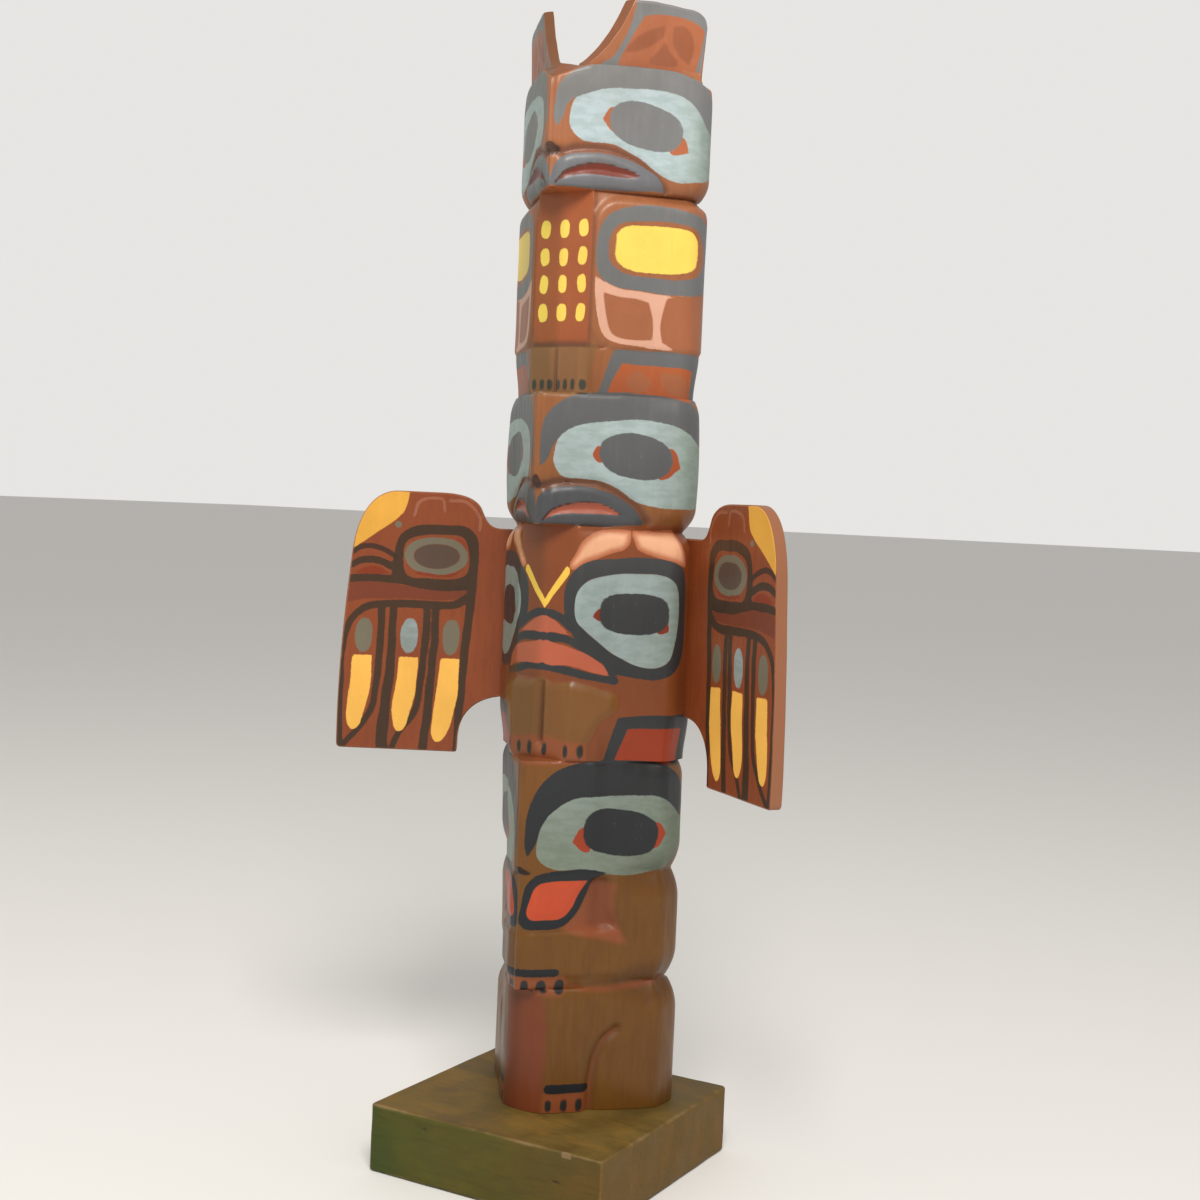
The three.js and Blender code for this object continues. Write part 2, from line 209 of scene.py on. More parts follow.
def bare_log(z):
    """x, y, s and outward direction of the uncarved right half: a row a height, a column a place."""
    z = z[:, None]
    opened = rise(100, 260, z)
    angle = np.radians(mix(41.5, 45.0, opened))
    width = mix(57.8, 59.4, opened)
    back = mix(50.0, 38.5, rise(60, 420, z))
    flank_x = width - CHEEK_RADIUS * (1 - np.cos(angle))
    flank = flank_x / np.sin(angle)
    cheek_y = RIDGE_Y + flank_x / np.tan(angle) + CHEEK_RADIUS * np.sin(angle)
    cheek_end = flank + CHEEK_RADIUS * angle
    turn_y = back - BACK_RADIUS
    side_end = cheek_end + turn_y - cheek_y
    flat = width - BACK_RADIUS
    parts = []

    def stretch(t, x, y, s, nx, ny):
        shape = (len(z), len(t))
        parts.append([np.broadcast_to(v, shape) for v in (x, y, s, nx, ny)])

    t = FLANK[None, :]
    stretch(
        FLANK, t * flank_x, RIDGE_Y + t * flank * np.cos(angle), t * flank, np.cos(angle), -np.sin(angle)
    )
    a = angle * (1 - CHEEK[None, :])
    x = width - CHEEK_RADIUS * (1 - np.cos(a))
    y = cheek_y - CHEEK_RADIUS * np.sin(a)
    stretch(CHEEK, x, y, flank + CHEEK_RADIUS * (angle - a), np.cos(a), -np.sin(a))
    t = SIDE[None, :]
    stretch(SIDE, width, mix(cheek_y, turn_y, t), mix(cheek_end, side_end, t), 1.0, 0.0)
    a = TURN[None, :] * pi / 2
    x = width - BACK_RADIUS * (1 - np.cos(a))
    stretch(TURN, x, turn_y + BACK_RADIUS * np.sin(a), side_end + BACK_RADIUS * a, np.cos(a), np.sin(a))
    t = BACK[None, :]
    stretch(BACK, flat * (1 - t), back, side_end + BACK_RADIUS * pi / 2 + flat * t, 0.0, 1.0)
    return [np.concatenate(part, axis=1) for part in zip(*parts)]


# ---- What is carved and painted on the pole --------------------------------------------------------------
def face(paint, eye, brow, socket, corners, nostril):
    """Brow, eye socket, eyeball with its coloured corners, and nostril. Returns the height carved."""
    paint.area("black", brow)
    paint.area("teal", socket)
    paint.ovoid("black", *eye)
    for corner in corners:
        paint.area("orange", corner)
    d_nostril = paint.area("dark", nostril)
    return -0.8 * rise(0.8, -1.6, d_nostril)


def lipped_mouth(paint, groove, lips, mouth):
    """Groove over the lips, the lips and the open mouth between them."""
    # A dark brown band along the groove over the lips: painted shade in the groove.
    paint.stroke("crease", groove, 5.4, 3.4)
    d_groove = paint.stroke(None, groove, 0.0)
    d_lips = paint.area("lip", lips)
    d_mouth = paint.area("red", mouth)
    paint.stroke("dark", mouth[:6], 1.5, 0.8)
    height = 0.6 * rise(1.0, -3.0, d_lips) - 2.2 * notch(d_groove, 5.5)
    return height - 1.5 * rise(0.8, -2.6, d_mouth)


def upper_head(paint):
    height = face(
        paint,
        eye=((54.5, 581), (20.6, 12.2), -12),
        brow=[
            (6, 577, 0), (3, 582), (4, 592), (6, 600), (12, 606.5), (22, 611), (36, 613.3), (60, 613.3),
            (80, 610),
            (98, 602), (108, 590), (108, 576, 0), (103, 580), (93, 583), (81, 594), (73, 599), (60, 601),
            (43, 600.6), (30, 599), (20, 595.6), (12, 591), (8.6, 582.5),
        ],
        socket=[
            (12.5, 586), (12.5, 578), (16, 573), (21, 570.6), (36, 570.4), (53, 563), (65, 555),
            (75, 552.7),
            (95, 556.4), (107, 563), (110, 576), (100, 588), (75, 604), (45, 606), (25, 601), (15, 593),
        ],
        corners=[
            [(30, 583, 0), (35.5, 590), (41, 586), (38.3, 576.5)],
            [(75, 577), (79, 569, 0), (69, 567.5), (68, 573)],
        ],
        nostril=[(0, 569), (8.5, 565.5, 0), (2.8, 562.5), (0, 563)],
    )
    return height + lipped_mouth(
        paint,
        groove=[
            (1, 565.5), (9, 564.2), (17, 566.6), (31, 567.6), (42, 565.4), (53, 560.4), (62, 554), (67, 548)
        ],
        lips=[
            (0, 550), (3, 557.7), (8.7, 561.8), (19, 564.4), (32, 565), (45, 563), (55, 559), (63, 554),
            (67, 547, 0), (45, 546), (20, 546), (0, 546, 0),
        ],
        mouth=[
            (4, 547.7, 0), (10, 553.4), (20, 558), (32, 559.4), (45, 557.2), (53, 553.8, 0), (45, 552.7),
            (28, 553.3), (16, 552.3), (9, 550),
        ],
    )


def middle_head(paint):
    height = face(
        paint,
        eye=((56.8, 403), (20.4, 12.2), -8),
        brow=[
            (3.4, 395, 0), (3, 406), (5, 419.6), (11, 429), (22, 434.8), (42, 437.5), (60, 437.5),
            (77, 436),
            (95, 431), (105, 423), (109, 409, 0), (104, 409), (95.5, 411), (85.6, 417.3), (76, 421.4),
            (60, 423),
            (43, 422), (28, 419.6), (18, 415.3), (11.3, 408.4), (7.5, 399),
        ],
        socket=[
            (11, 401), (12.8, 394.4), (17, 390.4), (27, 390), (39.4, 388.6), (49, 384.5), (58, 379),
            (67, 376.5),
            (80, 375), (99, 377), (108, 384), (110, 398), (104, 409), (88, 422), (60, 428), (30, 424),
            (15, 414),
        ],
        corners=[
            [(32.5, 402.8, 0), (36.5, 408), (40, 402), (37, 398.5)],
            [(76, 408.5), (82, 397.7, 0), (71, 391), (72, 399)],
        ],
        nostril=[(0, 391), (5.5, 386.6, 0), (2.2, 384), (0, 384)],
    )
    return height + lipped_mouth(
        paint,
        groove=[
            (0, 386), (6, 385.2), (15, 387.2), (27, 388), (38, 387), (48.5, 382.4), (58, 376.5), (65, 368)
        ],
        lips=[
            (0, 373), (2.3, 380.4), (10.7, 383.8), (23, 385.8), (36, 384.7), (47.5, 381), (56.5, 375.6),
            (64, 366, 0), (45, 364.4), (20, 364.4), (0, 364.4, 0),
        ],
        mouth=[
            (4.7, 366.3, 0), (11, 372), (19.5, 375.6), (30, 377), (41, 375.7), (50.7, 370.7, 0), (37, 371),
            (24, 370.8), (14, 369.6),
        ],
    )


def lower_head(paint):
    height = face(
        paint,
        eye=((58.7, 195.2), (21.8, 12.9), -8, 2.7),
        brow=[
            (6, 181, 0), (4, 190), (5.2, 205), (10, 218.7), (18.7, 228.6), (32, 234), (50.7, 235.5),
            (69, 235.5),
            (84, 233.4), (96, 228), (103, 219.7), (105.3, 210), (102, 202, 0), (92, 210), (81.6, 215),
            (70, 216),
            (51.5, 215.8), (33, 214.2), (19.6, 207), (13.6, 199), (10.8, 190),
        ],
        socket=[
            (11, 188), (11.6, 182), (16.4, 177.3), (24, 175), (37, 175), (52.7, 171.5), (67.7, 171),
            (82, 173),
            (94, 174.8), (103, 184), (106, 196), (101, 205), (85, 217), (60, 221), (30, 218), (15, 205),
        ],
        corners=[
            [(30.5, 190, 0), (36.6, 198.5), (42, 192), (40, 184.5)],
            [(79, 201), (87, 195, 0), (78, 186), (76, 193)],
        ],
        nostril=[(0, 176.4), (10, 171.5, 0), (0, 172.3)],
    )
    tongue = paint.area(
        "red",
        [
            (6.3, 149), (8, 158.5), (12.4, 165.6), (21.4, 168.2), (31.5, 168.8), (41, 168.6, 0),
            (35.5, 161.7),
            (32, 153.6), (27, 148.2), (17.7, 147),
        ],
    )
    leaf = paint.area(
        "black",
        [
            (1.2, 144), (1.4, 154), (4.2, 164.8), (10.3, 170.6), (21, 174), (37, 175), (54, 172, 0),
            (44.4, 168.4),
            (40.2, 160.7), (35, 150), (27.2, 142.8), (14.3, 141.4),
        ],
        without=tongue,
    )
    return height + 0.9 * rise(2.0, -4.0, tongue) + 0.5 * rise(0.5, -1.0, leaf)


def upper_body(paint):
    """Spotted belly between two folded arms, then the feet hanging over the ears of the head below."""
    paint.area("rust", [(0, 546, 0), (28.4, 546, 0), (27.4, 461, 0), (0, 461, 0)])
    # Dark lines along the step beside the belly and the ledge over the feet: painted shade.
    paint.stroke("crease", [(28.6, 545), (27.6, 462)], 1.4)
    paint.stroke("crease", [(0, 463), (28, 463)], 2.6)
    for row, z in enumerate((525.6, 510.4, 495.5, 480.1)):
        for column, s in enumerate((0, 17.6)):
            lean = 14 * sin(3.1 * row + 2.3 * column)
            paint.ovoid("yellow", (s, z), (4.3 + 0.3 * sin(5 * row + column), 4.9), lean if s else 0, 2.7)
    inner = paint.area(
        None,
        [
            (36.6, 513), (37, 520.4), (40.6, 526.4), (46.4, 529.4), (55, 530.8), (68, 531), (80, 529.5),
            (88, 527),
            (93.6, 519.7), (93.7, 509.7), (88.5, 503), (78, 500), (65, 500.3), (52, 501), (43.5, 502.8),
            (38, 507.4),
        ],
    )
    paint.area(
        "black",
        [
            (30.6, 504.4), (30, 516.6), (31.3, 525), (35.3, 531.7), (42, 536), (54.5, 539), (67.4, 539.2),
            (78.7, 537.7), (91, 535), (104, 528), (107, 514), (103, 499), (90, 492.5), (78, 492),
            (65.4, 492),
            (52.5, 492.8), (42, 494.5), (34.3, 498),
        ],
        without=inner,
    )
    paint.ovoid("yellow", (64, 515.6), (23.7, 12.7), -1, 3.4)
    thigh = paint.area(
        None,
        [
            (35, 491, 0), (44, 489), (53, 488), (60, 486.6, 0), (62.6, 476), (63.2, 467, 0), (53.7, 466.2),
            (45, 467),
            (40, 469.6), (37, 477.7),
        ],
    )
    hip = paint.area(
        None,
        [
            (70, 490, 0), (68, 482), (67.2, 474), (69, 466, 0), (78, 461, 0), (112, 460, 0), (112, 494, 0),
            (84, 492)
        ],
    )
    paint.area(
        "pink",
        [
            (30, 499.4, 0), (30.4, 488), (32, 476.5), (35.7, 467.7), (43.6, 464), (58, 462.8), (76, 461.5),
            (108, 461, 0), (108, 493, 0), (84, 492), (66, 491.6), (52, 492.4), (42, 494),
        ],
        without=np.minimum(thigh, hip),
    )
    paint.put("leaf", thigh)
    paint.put("leaf", hip)
    paint.area("olive", [(0, 463, 0), (33.4, 463, 0), (30, 448), (28, 434, 0), (0, 434, 0)])
    # Dark line in the split between the feet: painted shade.
    paint.stroke("crease", [(0, 459), (0, 436)], 1.8)
    for s in (3.7, 10.6, 17.8, 25.4):
        paint.ovoid("claw", (s, 440.4), (2.1, 2.9), 0, 3)
    sunken_ear(
        paint,
        outer=[(33.7, 434, 0), (37.6, 447), (42.5, 460.4, 0), (70, 461), (108, 460, 0), (108, 434, 0)],
        inner=[(38.6, 434, 0), (42, 444), (47.5, 453.6, 0), (76, 452.6), (90.5, 451.8, 0), (91.5, 434, 0)],
        leaves=[
            [(56, 451, 0), (50, 444), (56, 437, 0), (64, 443)],
            [(68, 450, 0), (84, 447), (86, 437), (72, 440)]
        ],
    )
    return np.zeros(len(paint.q))


def sunken_ear(paint, outer, inner, leaves=()):
    """Ear of a lower head, painted on the wood between a figure's feet and its wing or arm."""
    field = paint.area("orange", inner)
    paint.area("black", outer, without=field)
    for leaf in leaves:
        paint.area("leaf", leaf)


def bird(paint):
    """Beaked face, folded legs with talons, and the ears of the head below."""
    paint.area("rust", [(0, 366, 0), (112, 366, 0), (120, 300), (112, 234, 0), (0, 234, 0)])
    paint.stroke("yellow", [(-0.4, 320), (18.6, 339.2)], 3.6, 4.6)
    paint.area(
        "pale",
        [
            (21, 340.5), (26, 350), (31, 357.5), (40, 362.5), (56.5, 362.5, 0), (54.6, 353.5),
            (44.8, 349.7), (33.4, 345)
        ],
    )
    paint.area(
        "pale",
        [
            (57, 362.5, 0), (70, 363), (84, 362.5), (89.5, 352), (91, 343, 0), (77, 347), (65.7, 350),
            (60, 353)
        ],
    )
    ring = paint.area(
        "teal",
        [
            (26.8, 313.3), (26, 323.7), (28.8, 330), (35.6, 335.4), (48, 338.4), (63.5, 339), (77, 338.3),
            (83, 334.3),
            (85.7, 325.5), (86, 312), (84, 299), (80.6, 291), (72.4, 287), (61.4, 288.6), (52, 293),
            (41.8, 299.6),
            (33.4, 306.4),
        ],
    )
    paint.area(
        "black",
        [
            (18, 314.6), (16.7, 325), (19, 334), (26.5, 341), (35, 345.4), (49.4, 347.3), (67.6, 348),
            (79.5, 346.6),
            (87.5, 343), (91.5, 334), (92, 316.5), (91.4, 296), (85, 285.5), (75.5, 281), (66, 281),
            (57, 282.4),
            (51.6, 283.6, 0), (48, 280, 0), (44, 289.5), (37.5, 295.5), (30, 300.5), (23, 306.6),
        ],
        without=ring,
    )
    paint.ovoid("black", (60.2, 317), (19.6, 11.2), 0, 3)
    paint.area("orange", [(36.4, 315, 0), (41.5, 320), (43, 316), (41.2, 312.4)])
    paint.area("orange", [(78, 314.5), (80.5, 307.5, 0), (74, 306.6), (75, 311)])
    paint.stroke("black", [(0, 316.2), (8, 315.2), (16, 312.6), (23.5, 308.6)], 4.4, 5.2)
    paint.area("red", [(-1, 313.6), (8, 312.2), (18, 307.6), (23, 304.4, 0), (10, 305.4), (-1, 305.6)])
    paint.stroke("black", [(0, 302.6), (18, 302.2), (28, 299.4), (36, 295.2), (43, 291.4)], 5.4, 3.0)
    paint.area(
        "red",
        [
            (-1, 299.4), (9.4, 299.4), (29.4, 296), (38.6, 292.2), (44, 288.6), (48, 282.2, 0), (39, 284.2),
            (25, 287), (-1, 289)
        ],
    )
    paint.stroke("black", [(0, 286.5), (14, 285.6), (30, 283), (50.6, 279.8)], 4.8, 4.2)
    d_legs = paint.area(
        "olive",
        [
            (-2, 278), (12, 277.6), (30, 278.3), (44, 274.6), (52, 271.7), (51.7, 262.8), (44.7, 258.3),
            (39.7, 249.4),
            (36.4, 244, 0), (36, 234, 0), (-2, 234, 0),
        ],
    )
    paint.area("toe", [(-2, 246), (20, 246.6), (35.6, 245, 0), (37, 233, 0), (-2, 233, 0)])
    # Dark line in the split between the legs: painted shade.
    paint.stroke("crease", [(0, 275), (0, 262), (0, 246)], 2.2, 3.0)
    d_split = paint.stroke(None, [(0, 276), (0, 245)], 0.0)
    whole = paint.left_and_right()
    for s in (-28, -17, -6.3, 4.9, 23.4, 32.6):
        whole.ovoid("claw", (s, 240.6), (1.9, 3.7), 0, 2.6)
    sunken_ear(
        paint,
        outer=[
            (45.4, 233, 0), (49.8, 247), (54, 259.6, 0), (67, 260.6), (81, 261.6), (110, 261, 0),
            (110, 233, 0)
        ],
        inner=[(51.6, 233, 0), (59.5, 253.4, 0), (72, 253.8), (94.5, 254, 0), (93, 233, 0)],
    )
    sunk = 2.4 * rise(259, 236, paint.q[:, 1]) * rise(40, 50, paint.q[:, 0]) * rise(150, 125, paint.q[:, 0])
    return 1.7 * rise(1.5, -5.0, d_legs) - 1.6 * notch(d_split, 4.5) - sunk


def lower_body(paint):
    """Forearms and paws under the tongue, round shoulders, thighs and haunches."""
    s, z = paint.q.T
    hollow = paint.area(
        "toe",
        [
            (44.6, 168.6), (58, 165.4, 0), (56.6, 158), (58, 149), (62, 139.5), (66, 131.5, 0), (46, 136.5),
            (34, 139),
            (28, 142), (35, 150), (40.2, 160.7),
        ],
    )
    paint.stroke("black", [(1.5, 117.4), (24.5, 117.4)], 4.4)
    paint.area("toe", [(-2, 115, 0), (30, 115.4, 0), (32, 108), (28, 104, 0), (-2, 104, 0)])
    for claw in (6.4, 17, 27.4):
        paint.ovoid("claw", (claw, 109.2), (2.9, 4.0), 0, 2.6)
    groove = paint.stroke("toe", [(34, 109.5), (46, 106.6), (65, 107), (80, 108.4), (100, 111)], 2.0, 3.0)
    paint.area("wine", [(-2, 104, 0), (15, 103.6), (19.4, 95), (20.2, 60), (19, 36, 0), (-2, 36, 0)])
    crease = paint.stroke("toe", [(62, 83.4), (55, 77), (50.4, 66.3), (48.4, 55.7), (47.6, 38)], 1.2, 2.2)
    paint.stroke("black", [(23, 51.7), (44.6, 51.4)], 5.0)
    paint.area("toe", [(20, 49, 0), (46.8, 49, 0), (46.8, 36, 0), (19, 36, 0)])
    for claw in (23.6, 33, 41.6):
        paint.ovoid("claw", (claw, 42.2), (2.0, 3.5), 0, 2.6)
    lowest = z < CHIN_3 + 3
    shoulder_edge = mix(66, 58, rise(132, 156, z))
    sunk = 2.8 * rise(139, 144, z) * rise(172, 166, z) * rise(34, 44, s) * rise(
        shoulder_edge, shoulder_edge - 8, s
    )
    forearm = 1.2 * rise(140.4, 137.6, z) * rise(112, 118, z) * rise(74, 50, s)
    thigh = 48 + 14 * np.maximum(0, (z - 40) / 43) ** 3
    haunch = np.where(z < PAWS, 1.2 * rise(thigh - 4, thigh + 14, s) * rise(150, 125, s), 0)
    height = forearm + haunch - sunk - 0.3 * rise(1, -2, hollow)
    height -= 2.0 * notch(np.maximum(crease, 0), 5) + 0.3 * rise(1.0, -1.0, groove)
    return np.where(lowest, height, 0)


def ear_paint(paint, on_ear):
    """Outlined field with a split leaf, on the outside of the upright ears only."""
    outside = Surface(np.where(on_ear, paint.q[:, 0] - 2.4, -99.0), paint.q[:, 1])
    field = outside.area(
        "orange",
        [
            (35.6, 613, 0), (37, 618), (40.3, 624.3), (44.2, 632), (48.9, 640.6, 0), (56.5, 642.2),
            (69.3, 641.8),
            (78, 639.4), (83.2, 636, 0), (83.3, 627.6), (82, 612, 0), (81, 604, 0), (36, 604, 0),
        ],
    )
    outside.area(
        "black",
        [(24, 604, 0), (26, 613), (33, 618), (42, 636), (46, 656, 0), (96, 656, 0), (96, 604, 0)],
        without=field,
    )
    for leaf in (
        [
            (38.8, 620.9, 0), (42.8, 626.1), (48.5, 631.6), (61, 636.9, 0), (60.4, 631.1), (53.9, 625.6),
            (45.5, 621.5)
        ],
        [
            (65.3, 636.5, 0), (71.3, 637.1), (76.6, 632.7), (78.7, 624.7), (77.4, 617.2, 0), (71.2, 620.7),
            (66.6, 626.8)
        ],
        [(61.4, 628, 0), (56.6, 621.8), (53.4, 616.6), (61, 615.4), (69.7, 616.5), (65.1, 622.6)],
    ):
        outside.area("leaf", leaf)
    for colour, distance in outside.colours.items():
        paint.put(colour, distance)


def grooves(s, z):
    """The grooves that part one figure from the next, deeper round the cheeks than on the flanks."""
    cheek = rise(50, 82, s) * rise(150, 125, s)
    flank = rise(20, 34, s) * rise(150, 125, s)
    arms = np.where(z > FEET_TOP, 2.4 * rise(24, 29, s), 0) * (z < CHIN_1) * (z > BROW_2)
    ds = np.abs(s - 214.5) - 171.5
    dz = np.abs(z - 501.0) - 25.5
    outside = np.hypot(np.maximum(ds, 0), np.maximum(dz, 0)) - 14
    feet = np.where((z > BROW_2) & (z < FEET_TOP), mix(3.2, 1.0, rise(BROW_2, FEET_TOP, z)), 0)
    return (
        -(1.6 * flank + 3.0 * cheek) * notch(z - CHIN_1, mix(7, 11, cheek))
        - (1.8 * flank + 4.6 * cheek) * notch(z - (CHIN_2 - 1.5), mix(7, 13, cheek))
        - 4.8 * cheek * notch(z - (CHIN_3 - 1), 17)
        - (1.5 * flank + 4.6 * cheek) * notch(z - (PAWS + 1.5), mix(9, 18, cheek))
        - cheek * np.where(z < BROW_3, 3.2 * notch(BROW_3 - z, 10), 0)
        - cheek * np.where(z < BROW_2, 2.2 * notch(BROW_2 - z, 10), 0)
        + 1.8 * cheek * bump(z - mix(CHIN_2, BROW_2, 0.5), 36)
        - arms * rise(-1.2, 3.2, outside)
        - feet * rise(27, 32, s) * rise(150, 125, s)
    )


def front_limit(x, z):
    """Lowest y of the wood: the ridge is cut back to the flat fronts of belly, feet, bird and thighs."""
    limit = np.full(z.shape, RIDGE_Y)
    limit = np.where(z < PAWS, -33.5, limit)
    talons = -30.5 + 2.5 * (x / 26) ** 2 + 2.2 * bump(x, 3) * rise(239, 245, z)
    limit = np.where((z > BROW_3) & (z < LEGS_TOP), talons, limit)
    limit = np.where((z >= LEGS_TOP) & (z < CHIN_2), -30 + 3 * (x / 20) ** 2, limit)
    limit = np.where((z > BROW_2) & (z < FEET_TOP), -31 + 1.6 * bump(x, 2.5), limit)
    belly = -26.2 - 1.2 * rise(18.7, 19.5, np.abs(x))
    return np.where((z >= FEET_TOP) & (z < CHIN_1), belly, limit)


def under_nose(z):
    """How far the ridge is cut back below each nose."""
    cut = np.zeros(z.shape)
    for chin, nostril in ((PAWS, 175), (CHIN_2, 387), (CHIN_1, 568)):
        cut += np.where((z > chin) & (z < nostril), 2.4 * rise(nostril, nostril - 3, z), 0)
    return cut


def worn_edge(s, z):
    """Rounds the ledges over and under each figure."""
    loss = np.zeros(z.shape)
    for ledge, side in ((PAWS, 1), (CHIN_2, 1), (CHIN_1, 1), (BROW_3, -1), (BROW_2, -1)):
        away = (z - ledge) * side
        loss += np.where(away >= 0, 1.3 * np.maximum(0, 1 - away / 2.6) ** 2, 0)
    return loss * rise(60, 30, s)


# ---- The pole's mesh -------------------------------------------------------------------------------------
def row_heights():
    edges = [
        (FOOT, PAWS - 0.3), (PAWS + 0.2, BROW_3 - 0.3), (BROW_3 + 0.3, LEGS_TOP),
        (LEGS_TOP + 1, CHIN_2 - 0.3),
        (CHIN_2 + 0.2, BROW_2 - 0.3), (BROW_2 + 0.3, FEET_TOP - 0.3), (FEET_TOP + 0.3, CHIN_1 - 0.3),
        (CHIN_1 + 0.2, 597.0),
    ]
    spans = []
    for low, high in edges:
        steps = int(round((high - low) / 1.45))
        spans.append(np.linspace(low, high, steps + 1))
    return np.concatenate(spans)


def ear_top(s):
    """Height of the ear's upper edge over a column."""
    t = np.linspace(0, 1, 20)
    front_s = 46 * (1 - t) ** 2 + 2 * 36 * t * (1 - t) + 22 * t**2
    front_z = 648.5 * (1 - t) ** 2 + 2 * 623.5 * t * (1 - t) + 613.1 * t**2
    back_s = 78 * (1 - t) ** 2 + 2 * 87 * t * (1 - t) + 86.7 * t**2
    back_z = 646.3 * (1 - t) ** 2 + 2 * 644.5 * t * (1 - t) + 637.5 * t**2
    outline_s = np.concatenate([front_s[::-1], [58], back_s])
    outline_z = np.concatenate([front_z[::-1], [648.4], back_z])
    return np.interp(s, outline_s, outline_z)


NOTCH = 612.5
EAR_TOP = 648.5
EAR_THICKNESS = 6.5


def crown_paths(x, y, s, start):
    """For every column, the rows that run over the crown: up the ear, over it, down to the notch, inward."""
    edge = mix(CROWN, 613.0, rise(-6, 30, s)) - 6.0 * rise(66, 92, s)
    has_ear = (s >= 21.9) & (s <= 86.9)
    top = np.where(has_ear, ear_top(s), edge)
    half = radians(45)

    def on_ear(height):
        up = np.clip((height - NOTCH) / (EAR_TOP - NOTCH), 0, 1)
        recess = mix(5.0, 3.2, up)
        along = s - 3.1 * rise(60, 86, s) * (1 - np.clip((height - NOTCH) / 25, 0, 1))
        return along * sin(half) - recess * cos(half), RIDGE_Y + along * cos(half) + recess * sin(half)

    def drawn_in(scale):
        return x * scale, CORE_Y + (y - CORE_Y) * scale

    rows = []
    for t in (0.3, 0.6, 0.85, 1.0):
        px, py = drawn_in(mix(1.0, 0.985, t * t))
        rows.append([px, py, mix(start, edge - 0.8, t)])
    shelf_height = np.maximum(edge, NOTCH + 0.4)
    shelf = [np.where(has_ear, e, d) for e, d in zip(on_ear(shelf_height), drawn_in(0.965))]
    last = rows[-1]
    for t in (0.4, 1.0):
        height = np.where(has_ear, mix(last[2], shelf_height, t), mix(last[2], edge, t))
        rows.append([mix(last[0], shelf[0], t), mix(last[1], shelf[1], t), height])
    outer_rows = len(rows)
    steps = 25
    for i in range(1, steps + 1):
        t = i / steps
        height = np.where(has_ear, mix(shelf_height, top, t), edge + 0.02 * t)
        ex, ey = on_ear(height)
        dx, dy = drawn_in(0.965 - 0.01 * t)
        rows.append([np.where(has_ear, ex, dx), np.where(has_ear, ey, dy), height])
    ear_rows = len(rows)
    outer_top = rows[-1]
    first = int(np.argmax(has_ear))
    ix, iy = on_ear(np.full(s.shape, NOTCH))
    ix = ix - EAR_THICKNESS
    before = s < s[first]
    share = np.clip(s / s[first], 0, 1)
    floor_x = np.where(has_ear, ix, x * 0.84)
    floor_y = np.where(has_ear, iy, CORE_Y + (y - CORE_Y) * 0.84)
    floor_x = np.where(before, ix[first] * share, floor_x)
    floor_y = np.where(before, mix(CORE_Y + (y[0] - CORE_Y) * 0.84, iy[first], share), floor_y)
    for t in (0.03, 0.08, 0.3, 0.7, 0.92, 0.97, 1.0):
        round_off = 0.5 * (2 * abs(t - 0.5)) ** 6
        px = np.where(has_ear, outer_top[0] - EAR_THICKNESS * t, mix(outer_top[0], floor_x, 0.5 * t))
        py = np.where(has_ear, outer_top[1], mix(outer_top[1], floor_y, 0.5 * t))
        height = np.where(has_ear, top + 0.5 - round_off, mix(edge, NOTCH, 0.5 * t))
        rows.append([px, py, height])
    inner_top = rows[-1]
    for i in range(1, 15):
        t = i / 14
        height = mix(inner_top[2], NOTCH, t)
        rows.append([mix(inner_top[0], floor_x, t), mix(inner_top[1], floor_y, t), height])
    for scale in (0.85, 0.65, 0.45, 0.25, 0.1):
        rows.append([floor_x * scale, CORE_Y + (floor_y - CORE_Y) * scale, np.full(s.shape, NOTCH + 0.01)])
    return np.array(rows), outer_rows, ear_rows


def mirrored(grid, flip=1.0):
    """Adds the left half to a right half, both seams shared."""
    return np.concatenate([grid, flip * grid[:, -2:0:-1]], axis=1)


